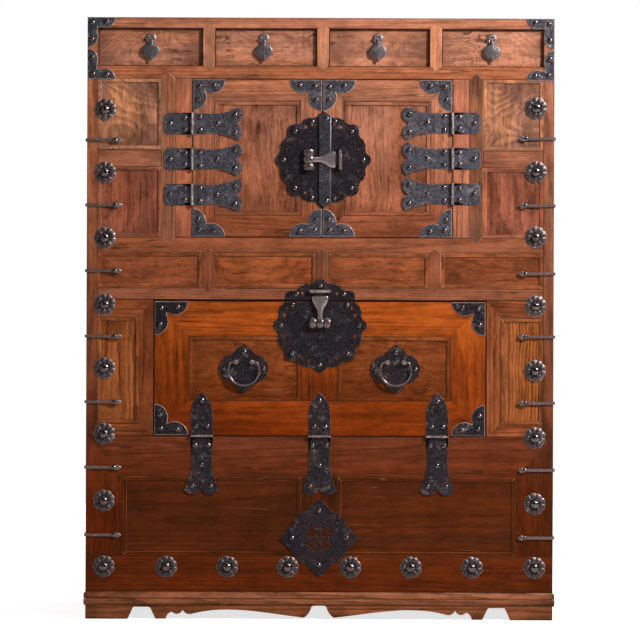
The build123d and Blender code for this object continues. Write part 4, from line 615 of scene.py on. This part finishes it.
def upright_grain(middle, half, along):
    """Grain direction upright on broad panels; narrow beads keep their own length."""
    broad = (half[:, 0] > BROAD_PANEL_HALF) & (half[:, 2] > BROAD_PANEL_HALF)
    return np.where(broad[:, None], [[0.0, 0.0, 1.0]], along)


for side in ("left", "right"):
    dressed(side + "_door_frame", side + "_door", [door_frame_wood])
    dressed(side + "_door_panel", side + "_door", [door_panel_wood], along_of=upright_grain)

# ---------------------------------------------------------------- drawers
# Four small boxes with a thick figured front, set a little back from the frame.
# Their sides, backs and bottoms are thinner boards, butted, in the same wood.
drawer_wood = wood(
    "drawer_front_board", (190, 128, 102), (118, 68, 48), (196, 118, 72), (112, 74, 62), coat=0.06, smoke_share=0.6,
    ring_count=30.0, ring_depth=0.16, figure=6.0, length_share=0.1, waver=0.04, swirl=0.02, swirl_size=12.0,
    mottle=0.45, fibre=0.35, flecks=0.4, fleck_size=260.0, cross_waves=0.15, contours=0.28, grime=0.9,
    board_spread=0.1, dullness=0.46)
for number in range(1, 5):
    dressed(f"drawer_{number}", f"drawer_{number}", [drawer_wood], seed=10 * number)

# ---------------------------------------------------------------- flap
# The drop flap is a wide mitred frame round two burr panels, redder and glossier than the doors and drawers above.
# It turns on three long hinges along its foot.
# Both flap woods are painted darker toward the foot of the flap, as shade where the light falls off downward.
flap_frame_wood = wood(
    "flap_frame_board", (178, 85, 30), (108, 42, 11), (184, 86, 24), (102, 43, 15), coat=0.05,
    foot_tint=(0.4, 0.24, 0.04, 1.0), foot_level=0.38, head_level=0.7, ring_count=44.0, ring_depth=0.38, figure=6.0,
    length_share=0.04, fibre=0.55, pores=0.3, grime=0.75, scratches=0.2, board_spread=0.25, dullness=0.38)
flap_panel_wood = wood(
    "flap_burr_panel", (152, 80, 41), (66, 28, 11), (162, 80, 30), (84, 40, 19), coat=0.05,
    foot_tint=(0.5, 0.34, 0.18, 1.0), foot_level=0.42, head_level=0.66, ring_count=36.0, ring_depth=0.2, figure=6.0,
    length_share=0.3, waver=0.05, swirl=0.03, swirl_size=14.0, mottle=0.6, pores=0.6, flecks=0.5, fleck_size=340.0,
    grime=0.6, board_spread=0.1, dullness=0.38)
dressed("flap_frame", "flap", [flap_frame_wood])
dressed("flap_panels", "flap", [flap_panel_wood])

# ---------------------------------------------------------------- sheet ironwork
# Corner plates, hinge leaves and lock plates are cut from hand-hammered sheet iron, blackened and oiled.
# Their faces are dented and faintly rusty, and their arrises are rubbed bright and painted paler still as a
# highlight.
HAMMER_STRENGTH = 0.5
DENTS_TO_METRE = 90.0
RUB_HIGHLIGHT_STARTS, RUB_HIGHLIGHT_FULL = -0.2308, -0.2320
ARRIS_PLATE = 0.0012
ARRIS_CORNER = 0.0008
LOOP_DEPTH = 0.012
LUG_HALF_DEPTH = 0.003


def iron_group():
    """Hammered iron. Smooth cells give hammer dents, noise of two sizes gives scale and pits, broad noise spreads
    rust and bare places, and whatever stands proud of the plates is rubbed bare and painted bright, a painted
    highlight down the fronts of barrels and bars."""
    tree, given, out = group_of(
        "hammered_iron", black=tone(44, 38, 44), rust=tone(92, 62, 52), bare=tone(120, 112, 116),
        rubbed=tone(216, 200, 196), dents=0.2, rust_share=0.5, bare_share=0.5, rub=0.0, speckle=1.0, dullness=0.38)
    place = source(tree, "ShaderNodeTexCoord", "Object")
    bent = place + noise(place, 60.0, output="Color") * 0.006
    dent = signal("ShaderNodeTexVoronoi", {
        "Vector": bent, "Scale": DENTS_TO_METRE, "Smoothness": 0.8}, "Distance", feature="SMOOTH_F1")
    scale = noise(place, 300.0, 5.0, 0.75)
    pit = band(noise(place, 900.0), 0.60, 0.70)
    rust = band(noise(place, 28.0, 4.0, 0.62), 0.50, 0.68) * given["rust_share"]
    worn = noise(place + (3.0, 1.0, 2.0), 45.0, 5.0, 0.7)
    bare = band(worn, 0.52, 0.70) * given["bare_share"] * band(scale, 0.35, 0.65)
    ahead = signal("ShaderNodeSeparateXYZ", {0: place}, "Y")
    # Wear and painted highlight: the part of a piece farthest ahead of the plates, such as the front of a hinge
    # barrel, turns to the rubbed colour.
    proud = band(ahead, RUB_HIGHLIGHT_STARTS, RUB_HIGHLIGHT_FULL) * given["rub"] * band(scale, 0.2, 0.6, 0.45, 1.0)
    colour = mixed(bare, mixed(rust, given["black"], given["rust"]), given["bare"])
    colour = mixed(proud, colour, given["rubbed"])
    colour = colour * (1.0 + band(scale, 0.3, 0.7, -0.5, 0.5) * given["speckle"])
    colour = mixed(pit * 0.6 * given["speckle"], colour, tone(20, 16, 17))
    gloss = given["dullness"] + (scale - 0.5) * 0.3 + rust * 0.25
    gloss = clamped(gloss - most(bare, proud) * 0.15)
    height = dent * given["dents"] + scale * 0.22 - pit * 0.12
    fill(out, {"Color": colour, "Gloss": gloss, "Height": height})
    return tree


HAMMERED_IRON = iron_group()


def iron(name, black, rust, bare, metallic=0.8, relief=0.002, rubbed=(216, 200, 196), **given):
    """Material of one kind of ironwork, with its own colours and dents in the shared hammered surface."""
    given.update(black=tone(*black), rust=tone(*rust), bare=tone(*bare), rubbed=tone(*rubbed))
    return finished(name, HAMMERED_IRON, HAMMER_STRENGTH, relief, given, {"Metallic": metallic})


black_iron = iron(
    "black_sheet_iron", (92, 89, 98), (112, 96, 95), (204, 194, 198), metallic=0.7, rubbed=(228, 206, 198), dents=0.6,
    rub=0.75, speckle=1.5)
lock_iron = iron(
    "lock_plate_iron", (44, 37, 43), (68, 51, 52), (146, 136, 142), metallic=0.65, dents=0.8, bare_share=0.45,
    speckle=1.7, dullness=0.4)
flap_iron = iron(
    "flap_sheet_iron", (58, 51, 56), (94, 68, 60), (196, 176, 172), metallic=0.75, rubbed=(206, 180, 172), dents=0.6,
    bare_share=0.65, rub=0.75, speckle=1.5, dullness=0.34)
worn_iron = iron(
    "handled_bar_iron", (176, 158, 154), (110, 88, 82), (244, 228, 222), relief=0.0003, dents=0.05, bare_share=0.35,
    rub=0.15, speckle=0.1, dullness=0.22)
# Paler iron on the rounded arrises of plates: rubbed wear and a painted highlight where the light catches the edges.
rubbed_edge_highlight_iron = iron(
    "rubbed_iron_edge", (194, 168, 160), (140, 104, 94), (234, 214, 206), metallic=0.4, relief=0.0014, dents=0.6,
    rust_share=0.3, bare_share=0.8, speckle=0.7, dullness=0.42)


def without_loops(middle, half):
    """All solids but the lock loops, which stand out farthest; they are modelled with the hasps."""
    return (half[:, 1] * 2 < LOOP_DEPTH) | (half[:, 0] > LOOP_DEPTH * 1.5)


def lock_finish(middle, half):
    """Finish number of a lock plate's solids: 1 for the lugs and the pin of its hasp, 0 for the sheet."""
    return np.where(half[:, 1] > LUG_HALF_DEPTH, 1, 0)


for plate_node, plate_body in (
        ("top_corner_plates", "carcass"), ("door_hinge_frame_leaves", "carcass"),
        ("flap_hinge_lower_leaves", "carcass"), ("left_door_corner_plates", "left_door"),
        ("left_door_hinge_leaves", "left_door"), ("right_door_corner_plates", "right_door"),
        ("right_door_hinge_leaves", "right_door"),
        ("flap_corner_plates", "flap"), ("flap_hinge_upper_leaves", "flap"), ("flap_handle_plates", "flap")):
    plate_iron = flap_iron if "flap" in plate_node else black_iron
    plate_arris = ARRIS_CORNER if "corner" in plate_node else ARRIS_PLATE
    dressed(plate_node, plate_body, [plate_iron], arris=plate_arris, edge_finish=rubbed_edge_highlight_iron)
for lock_node, lock_body in (
        ("diamond_plate", "carcass"), ("flap_lock_upper_plate", "carcass"), ("left_door_lock_plate", "left_door"),
        ("right_door_lock_plate", "right_door"), ("flap_lock_plate", "flap")):
    dressed(lock_node, lock_body, [lock_iron, worn_iron], lock_finish, kept_of=without_loops,
            arris=ARRIS_PLATE, edge_finish=rubbed_edge_highlight_iron)

# ---------------------------------------------------------------- rosettes
# Twenty-two chased flowers of thin sheet iron, their nine petals beaten up from behind round a sunk ring.
# A large domed stud nails each one to the front.
PETALS = 9
PETAL_RISE = 0.0030
ROSETTE_LIFT = 0.0010
ROSETTE_ROWS, ROSETTE_STEPS = 22, 108
SHARP_CREASE = math.radians(50)


def around(steps):
    """Angles all the way round in even steps."""
    return np.linspace(0.0, 2 * math.pi, steps, endpoint=False)


def round_places(x, z, share, reach, y):
    """Grid round a middle, upright as the front is: shares of the reach by angle, at depth y."""
    angle = around(len(reach))
    out = share[:, None] * reach
    return places_of(x + out * np.cos(angle), y, z + out * np.sin(angle))


def rosette_places(middle, half):
    """Grid of one rosette: share of the radius by angle. The rim swells by the root of the petal wave, the absolute
    sine of half the petal count times the angle. The face rises as a sine along each petal times that wave, and the
    rim turns down to the board and back to the middle."""
    swell = np.sqrt(np.abs(np.sin(PETALS * around(ROSETTE_STEPS) / 2)))
    face = np.linspace(0.02, 1.0, ROSETTE_ROWS)
    petal = np.sin(math.pi * np.clip((face - 0.34) / 0.66, 0.0, 1.0) ** 0.9)
    rise = ROSETTE_LIFT + PETAL_RISE * petal[:, None] * (0.45 + 0.55 * swell)
    share = np.append(face, [1.0, 0.02])
    lift = np.concatenate([rise, np.zeros((2, ROSETTE_STEPS))])
    return round_places(middle[0], middle[2], share, half[0] * (0.88 + 0.12 * swell), middle[1] + half[1] - lift)


def joined_grids(name, grids, finishes, rim=(0, 0)):
    """One mesh of several closed grids of the same shape, each capped at both ends by a fan to its own middle point.
    Faces between the two rows named by rim take the second finish."""
    rows, columns = grids[0].shape[:2]
    number = np.arange(rows * columns).reshape(rows, columns)
    side = np.roll(number, -1, axis=1)
    walls = np.stack([number[:-1], number[1:], side[1:], side[:-1]], axis=-1).reshape(-1, 4)
    first = np.stack([np.full(columns, rows * columns), number[0], side[0]], axis=-1)
    last = np.stack([np.full(columns, rows * columns + 1), side[-1], number[-1]], axis=-1)
    points = np.concatenate([
        np.concatenate([grid.reshape(-1, 3), grid[:1].mean(axis=1), grid[-1:].mean(axis=1)]) for grid in grids])
    faces = []
    for start in range(0, len(points), rows * columns + 2):
        faces += (walls + start).tolist() + (first + start).tolist() + (last + start).tolist()
    mesh = smooth_mesh(name, points, faces, finishes)
    row_of = np.append(np.repeat(np.arange(rows - 1), columns), np.full(2 * columns, -1))
    on_rim = (row_of >= rim[0]) & (row_of < rim[1])
    mesh.polygons.foreach_set("material_index", np.tile(on_rim.astype(np.int32), len(grids)))
    mesh.set_sharp_from_angle(angle=SHARP_CREASE)
    return mesh


def solid_boxes(node):
    """Middles and half sizes of a CAD node's solids."""
    places, corners, solid = solids_of(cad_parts[node].data)
    return boxes_of(places[corners.ravel()], np.repeat(solid, 3))


rosette_iron = iron(
    "rosette_iron", (78, 67, 68), (104, 80, 74), (190, 172, 168), metallic=0.6, relief=0.0008, rust_share=0.3)
# The turned-down rim is paler iron: rubbed, and a painted highlight where the light catches it.
rosette_rim_highlight_iron = iron(
    "rosette_rim_highlight_iron", (138, 120, 117), (124, 94, 86), (230, 212, 206), metallic=0.5, relief=0.0014, dents=0.6,
    rust_share=0.3, bare_share=0.9, dullness=0.4)
rosette_grids = [rosette_places(middle, half) for middle, half in zip(*solid_boxes("rosettes"))]
rosette_mesh = joined_grids(
    "rosettes_dressed", rosette_grids, [rosette_iron, rosette_rim_highlight_iron], (ROSETTE_ROWS - 2, ROSETTE_ROWS))
shaped(rosette_mesh, "carcass", "rosettes")

# ---------------------------------------------------------------- nails and studs
# Round hand-made nails with low domed heads hold all the ironwork; bigger studs sit in the rosettes.
# Each head is one smooth dome, a little out of round, in paler iron than the plates.
nail_iron = iron(
    "nail_head_iron", (122, 110, 110), (90, 70, 66), (206, 188, 182), metallic=1.0, relief=0.0003, dents=0.0,
    bare_share=0.3, speckle=0.25, dullness=0.19)
NAIL_HEAD_RADIUS, NAIL_HEAD_RISE = 0.0057, 0.0042
NAIL_ROWS, NAIL_STEPS = 5, 12
STUD_RADIUS, STUD_RISE = 0.0108, 0.0092
STUD_ROWS, STUD_STEPS = 10, 32
CAD_NAIL_RISE, CAD_STUD_RISE = 0.0032, 0.0080


def dome_places(x, z, seat, radius, rise, rows, steps, chance):
    """Grid of one domed head on a seat plane: radius times the sine, rise times the cosine of the slope angle, the
    radius swelling a little as a sine of twice the angle round, with a flat foot back to the middle."""
    slope = np.linspace(0.12, 1.0, rows) * math.pi / 2
    swell = 1.0 + 0.05 * np.sin(2 * around(steps) + 6.3 * chance)
    lift = rise * np.append(np.cos(slope) ** 0.9, 0.0)
    return round_places(x, z, np.append(np.sin(slope), 0.05), radius * swell, seat - lift[:, None])


def driven_heads(node, body, radius, rise, rows, steps, cad_rise):
    """Domed heads in the places of a CAD node's nails, seated where the CAD heads' own feet are."""
    middles, halves = solid_boxes(node)
    seats = middles[:, 1] - halves[:, 1] + cad_rise
    chances = np.random.default_rng(len(node)).random(len(middles))
    grids = [
        dome_places(middle[0], middle[2], seat, radius, rise * (0.9 + 0.2 * chance), rows, steps, chance)
        for middle, seat, chance in zip(middles, seats, chances)]
    shaped(joined_grids(node + "_dressed", grids, [nail_iron]), body, node)


for nail_node, nail_body in (
        ("carcass_nails", "carcass"), ("left_door_nails", "left_door"), ("right_door_nails", "right_door"),
        ("flap_nails", "flap")):
    driven_heads(nail_node, nail_body, NAIL_HEAD_RADIUS, NAIL_HEAD_RISE, NAIL_ROWS, NAIL_STEPS, CAD_NAIL_RISE)
driven_heads("rosette_studs", "carcass", STUD_RADIUS, STUD_RISE, STUD_ROWS, STUD_STEPS, CAD_STUD_RISE)

# ---------------------------------------------------------------- cover strip
# A long strip of sheet iron on the right door covers the line where the doors meet. It is folded over a foot that
# lies on that door, one edge is rolled, and both ends are cut to a point.
STRIP_POINT = 0.009
STRIP_BACK = -0.2263
STRIP_THICKNESS = 0.003
STRIP_SECTION = np.array([
    (-0.25, 0.0), (-0.25, -0.33), (1.0, -0.33), (1.0, 0.78), (0.90, 1.0), (0.74, 1.0), (0.66, 0.82), (-0.96, 0.82),
    (-1.0, 0.66), (-1.0, 0.0)])


def strip_places(middle, half):
    """Grid of the strip: its cross-section, run up the strip and drawn in to a point at both ends."""
    short = 1.0 - STRIP_POINT / half[2]
    level = np.array([-1.0, -short, short, 1.0])[:, None]
    width = np.array([0.04, 1.0, 1.0, 0.04])[:, None]
    return places_of(
        middle[0] + half[0] * width * STRIP_SECTION[:, 0], STRIP_BACK - STRIP_THICKNESS * STRIP_SECTION[:, 1],
        middle[2] + half[2] * level)


strip_grids = [strip_places(middle, half) for middle, half in zip(*solid_boxes("right_door_cover_strip"))]
shaped(joined_grids("cover_strip", strip_grids, [black_iron]), "right_door", "right_door_cover_strip")

# ---------------------------------------------------------------- hasps
# Crowned tongues forged from bar and rubbed to a brown sheen. Each ends in a thick eye, which lies between two loops
# of the same round bar; a lock's bar goes through all three.
tongue_iron = iron(
    "hasp_tongue_iron", (168, 150, 150), (104, 82, 78), (240, 222, 216), metallic=0.75, relief=0.0004, bare_share=0.4,
    rub=0.1, speckle=0.3, dullness=0.26)
ring_iron = iron(
    "ring_handle_iron", (128, 112, 111), (120, 92, 86), (220, 200, 194), relief=0.0006, bare_share=0.4, speckle=0.2,
    dullness=0.24)
PLATE_FRONT = -0.2253
OVERLAP = 0.0002
BORE_LIFT = 0.0072
BORE_RADIUS = 0.0032
LOOP_HALF_LENGTH = 0.012
LOOP_HALF_WIDTH = 0.0070
LOOP_BOW = 0.0065
LOOP_PITCH = 0.0152
LOOP_STEPS, LOOP_ROUND_STEPS = 56, 24
HASP_AXIS = -0.2318
HASP_REACH = 0.0675
HASP_HALF_THICKNESS = 0.0014
HASP_CROWN = 0.0019
BELL_RUN = (0.0105, 0.0112, 0.0130, 0.0180, 0.0240, 0.0300, 0.0350, 0.0400, 0.0450, 0.0520, 0.0600)
BELL_HALF_WIDTH = (0.0158, 0.0172, 0.0176, 0.0172, 0.0152, 0.0116, 0.0082, 0.0064, 0.0057, 0.0054, 0.0062)
SHADED_STRAP_RUN = (-0.0015, 0.0140)
SHADED_STRAP_HALF_WIDTH = (0.0112, 0.0112)
SHADED_STRAP_HALF_THICKNESS = 0.0008
HASP_ROWS, HASP_STEPS = 60, 32
KNUCKLE_ROWS = 14
KNUCKLE_HALF = 0.0117
KNUCKLE_RADIUS = 0.0036
KNUCKLE_BORE = 0.00165
DOOR_LOCK = (0.0420, 0.98425)
FLAP_LOCK = (0.0, 0.7025)


def laid(lock, hanging, run, across, ahead):
    """Places of a lock part given along its hasp, across it and ahead of a depth: the hasp of the doors runs to the
    left, the hanging one down."""
    x = lock[0] - (across if hanging else run)
    z = lock[1] - (run if hanging else -across)
    return places_of(x, -ahead, z)


def power(value, exponent):
    """Value raised to an exponent with its sign kept."""
    return np.sign(value) * np.abs(value) ** exponent


def loop_places(lock, hanging, shift):
    """Closed grid of one loop or eye: round its bore, the section is a full oval from the bore out to the loop's
    outline. The outline is straight up from the plate, then a half ellipse."""
    angle = around(LOOP_STEPS)
    flat, steep = np.cos(angle), np.sin(angle)
    wall = LOOP_HALF_LENGTH / np.maximum(np.abs(flat), 1e-6)
    foot = np.where(steep < 0, (BORE_LIFT + OVERLAP) / np.maximum(-steep, 1e-6), 1.0)
    sunk = BORE_LIFT - LOOP_BOW
    squares = (flat / LOOP_HALF_LENGTH) ** 2 + (steep / LOOP_BOW) ** 2
    cross = steep * sunk / LOOP_BOW ** 2
    bow = (-cross + np.sqrt(cross ** 2 - squares * ((sunk / LOOP_BOW) ** 2 - 1.0))) / squares
    reach = np.where(wall * steep <= -sunk, np.minimum(wall, foot), bow)
    turn = around(LOOP_ROUND_STEPS)
    middle, half = (reach + BORE_RADIUS) / 2, (reach - BORE_RADIUS) / 2
    radius = middle[:, None] + half[:, None] * power(np.cos(turn), 0.9)
    across = shift + LOOP_HALF_WIDTH * power(np.sin(turn), 0.9)
    ahead = radius * steep[:, None] + BORE_LIFT - PLATE_FRONT
    return laid(lock, hanging, HASP_REACH - radius * flat[:, None], across, ahead)


def tongue_places(lock, hanging, runs, half_widths, half_thickness, crown):
    """Grid of a tongue: its half width is read off along its run, its section is a squared oval, crowned in front."""
    run = np.linspace(runs[0], runs[-1], HASP_ROWS)
    half = np.interp(run, runs, half_widths)[:, None]
    turn = around(HASP_STEPS)
    side = power(np.cos(turn), 0.6)
    rise = power(np.sin(turn), 0.4) * half_thickness
    rise = rise + np.where(rise > 0, crown * (1.0 - side ** 2), 0.0)
    return laid(lock, hanging, run[:, None], half * side, rise - HASP_AXIS)


def knuckle_places(lock, hanging):
    """Closed grid of a hasp's knuckle: a tube whose outside thins to its ends by the eighth power of the run."""
    along = np.linspace(-1.0, 1.0, KNUCKLE_ROWS)
    outer = KNUCKLE_RADIUS * (1.0 - 0.14 * along ** 8)
    radius = np.append(outer, [KNUCKLE_BORE, KNUCKLE_BORE])[:, None]
    across = KNUCKLE_HALF * np.append(along, [1.0, -1.0])[:, None]
    angle = around(HASP_STEPS)
    return laid(lock, hanging, radius * np.cos(angle), across, radius * np.sin(angle) - HASP_AXIS)


for lock_name, lock, hanging, loop_body in (
        ("door", DOOR_LOCK, False, "left_door"), ("flap", FLAP_LOCK, True, "flap")):
    hasp = lock_name + "_hasp"
    bell = tongue_places(lock, hanging, BELL_RUN, BELL_HALF_WIDTH, HASP_HALF_THICKNESS, HASP_CROWN)
    shaped(joined_grids(hasp + "_tongue", [bell], [tongue_iron]), hasp, hasp)
    # A thin strap of dark plate iron fills the slot between the tongue and the knuckle: painted shade standing for
    # the shadow in that slot.
    shaded_strap = tongue_places(lock, hanging, SHADED_STRAP_RUN, SHADED_STRAP_HALF_WIDTH, SHADED_STRAP_HALF_THICKNESS, 0.0)
    shaped(joined_grids(hasp + "_shaded_strap", [shaded_strap], [lock_iron]), hasp)
    knuckle = sheet_mesh(hasp + "_knuckle", knuckle_places(lock, hanging), worn_iron, closed=True)
    shaped(knuckle, hasp)
    shaped(sheet_mesh(hasp + "_eye", loop_places(lock, hanging, 0.0), ring_iron, closed=True), hasp)
    for loop_name, shift in (("_first_loop", -LOOP_PITCH), ("_second_loop", LOOP_PITCH)):
        loop = sheet_mesh(lock_name + loop_name, loop_places(lock, hanging, shift), ring_iron, closed=True)
        shaped(loop, loop_body)

# ---------------------------------------------------------------- handles, hinge pins and cleats
# Ring handles and hinge pins of round bar, worn by hands. The cleats along both sides are driven bars, and each ends
# in a domed leaf.
cleat_iron = iron(
    "cleat_bar_iron", (138, 116, 112), (120, 84, 74), (226, 204, 196), metallic=0.7, relief=0.0008, rust_share=0.3,
    bare_share=0.6, speckle=0.6, dullness=0.32)
ARRIS_BAR = 0.0005
LEAF_LENGTH, LEAF_WIDTH, LEAF_RISE = 0.0204, 0.0122, 0.0026
LEAF_POWER = 1.3
LEAF_FROM_TIP = 0.0102
LEAF_ROWS, LEAF_STEPS = 6, 24


def domed_places(x, z, reach, seat, rise, rows, fullness):
    """Grid of a dome over a star-shaped outline: share of the reach by angle. It rises as one less the square of the
    share, to the power of its fullness, and goes back to the middle on its seat."""
    face = np.sin(np.linspace(0.04, 1.0, rows) * math.pi / 2)
    lift = rise * (1.0 - face ** 2) ** fullness
    lift[-1] = 0.0
    return round_places(x, z, np.append(face, 0.04), reach, seat - np.append(lift, 0.0)[:, None])


for bar_node, bar_body, bar_finish in (
        ("left_handle_bail", "left_handle_bail", ring_iron), ("right_handle_bail", "right_handle_bail", ring_iron),
        ("hinge_pins", "carcass", ring_iron), ("edge_cleats", "carcass", cleat_iron)):
    dressed(bar_node, bar_body, [bar_finish], arris=ARRIS_BAR)
cleat_middles, cleat_halves = solid_boxes("edge_cleats")
leaf_angle = around(LEAF_STEPS)
leaf_reach = (
    np.abs(np.cos(leaf_angle) * 2 / LEAF_LENGTH) ** LEAF_POWER
    + np.abs(np.sin(leaf_angle) * 2 / LEAF_WIDTH) ** LEAF_POWER) ** (-1 / LEAF_POWER)
leaf_x = cleat_middles[:, 0] - np.sign(cleat_middles[:, 0]) * (cleat_halves[:, 0] - LEAF_FROM_TIP)
leaf_grids = [
    domed_places(x, middle[2], leaf_reach, middle[1] - half[1] + OVERLAP, LEAF_RISE, LEAF_ROWS, 0.6)
    for x, middle, half in zip(leaf_x, cleat_middles, cleat_halves)]
shaped(joined_grids("cleat_leaves", leaf_grids, [cleat_iron]), "carcass")

# ---------------------------------------------------------------- drawer pulls
# A round boss with a sunk middle carries two lugs and a pin. A thick domed drop hangs from the pin by a narrow neck
# and ends in a pointed tail.
pull_iron = iron(
    "pull_boss_iron", (170, 150, 147), (132, 98, 90), (222, 200, 194), relief=0.0006, bare_share=0.7, speckle=0.5,
    dullness=0.32)
drop_iron = iron(
    "pull_drop_iron", (112, 104, 108), (120, 100, 96), (206, 194, 192), relief=0.001, dents=0.5, bare_share=0.7,
    dullness=0.42)
BOSS_RADIUS = 0.0118
BOSS_RISE = 0.0028
BOSS_FRONT = -0.2178
DROP_HALF_WIDTH, DROP_HALF_HEIGHT = 0.0187, 0.0160
DROP_BELOW_AXIS = 0.027
DROP_BACK = -0.2214
DROP_RISE = 0.0038
NECK_LENGTH, NECK_SPREAD = 0.0252, 0.27
TAIL_LENGTH, TAIL_SPREAD = 0.0080, 0.15
PULL_AXIS_HEIGHT, PULL_AXIS_AHEAD = 1.244, -0.2208
PULL_ROWS, PULL_STEPS = 14, 144
BOSS_SUNK_ROWS = 5
EYE_HALF, EYE_RADIUS, EYE_WALL = 0.0035, 0.0022, 0.0008
EYE_STEPS, EYE_ROUND_STEPS = 24, 16


def drop_reach():
    """Distance from the drop's middle to its outline by angle: an ellipse, or a steep bell of the angle from straight
    up for the neck where that is farther, plus a narrow bell of the angle from straight down for the tail."""
    angle = around(PULL_STEPS)
    disc = 1.0 / np.hypot(np.cos(angle) / DROP_HALF_WIDTH, np.sin(angle) / DROP_HALF_HEIGHT)
    neck = NECK_LENGTH * np.exp(-(np.abs(angle - 0.5 * math.pi) / NECK_SPREAD) ** 4)
    tail = TAIL_LENGTH * np.exp(-(np.abs(angle - 1.5 * math.pi) / TAIL_SPREAD) ** 2)
    return np.maximum(disc, neck) + tail


def drop_eye_places(x):
    """Grid of the drop's eye, closed both ways: a ring round the pin, flattened across."""
    angle, turn = around(EYE_STEPS)[:, None], around(EYE_ROUND_STEPS)
    radius = EYE_RADIUS + EYE_WALL * np.cos(turn)
    return places_of(
        x - EYE_HALF * power(np.sin(turn), 0.6), PULL_AXIS_AHEAD - radius * np.sin(angle),
        PULL_AXIS_HEIGHT + radius * np.cos(angle))


def boss_places(x):
    """Grid of one boss: a ring that rises as the sine of a power of the share of its radius, flat behind."""
    face = np.linspace(0.05, 1.0, PULL_ROWS)
    lift = BOSS_RISE * np.sin(math.pi * face ** 1.8)
    lift[-1] = -OVERLAP
    reach = np.full(PULL_STEPS, BOSS_RADIUS)
    y = BOSS_FRONT - np.append(lift, -OVERLAP)[:, None]
    return round_places(x, PULL_AXIS_HEIGHT, np.append(face, 0.05), reach, y)


for number in range(1, 5):
    drawer, drop = f"drawer_{number}", f"drawer_{number}_drop"
    dressed(drawer + "_pull_plate", drawer, [pull_iron], arris=ARRIS_BAR)
    drop_x = solid_boxes(drop)[0][0, 0]
    boss = joined_grids(drawer + "_boss", [boss_places(drop_x)], [pull_iron, lock_iron], (0, BOSS_SUNK_ROWS))
    shaped(boss, drawer)
    drop_grid = domed_places(
        drop_x, PULL_AXIS_HEIGHT - DROP_BELOW_AXIS, drop_reach(), DROP_BACK, DROP_RISE, PULL_ROWS, 0.3)
    # The rim of the drop takes the paler boss iron, a painted highlight along its edge.
    face = joined_grids(drop + "_dressed", [drop_grid], [drop_iron, pull_iron], (PULL_ROWS - 3, PULL_ROWS - 1))
    shaped(face, drop, drop)
    shaped(sheet_mesh(drop + "_eye", drop_eye_places(drop_x), pull_iron, closed=True), drop)
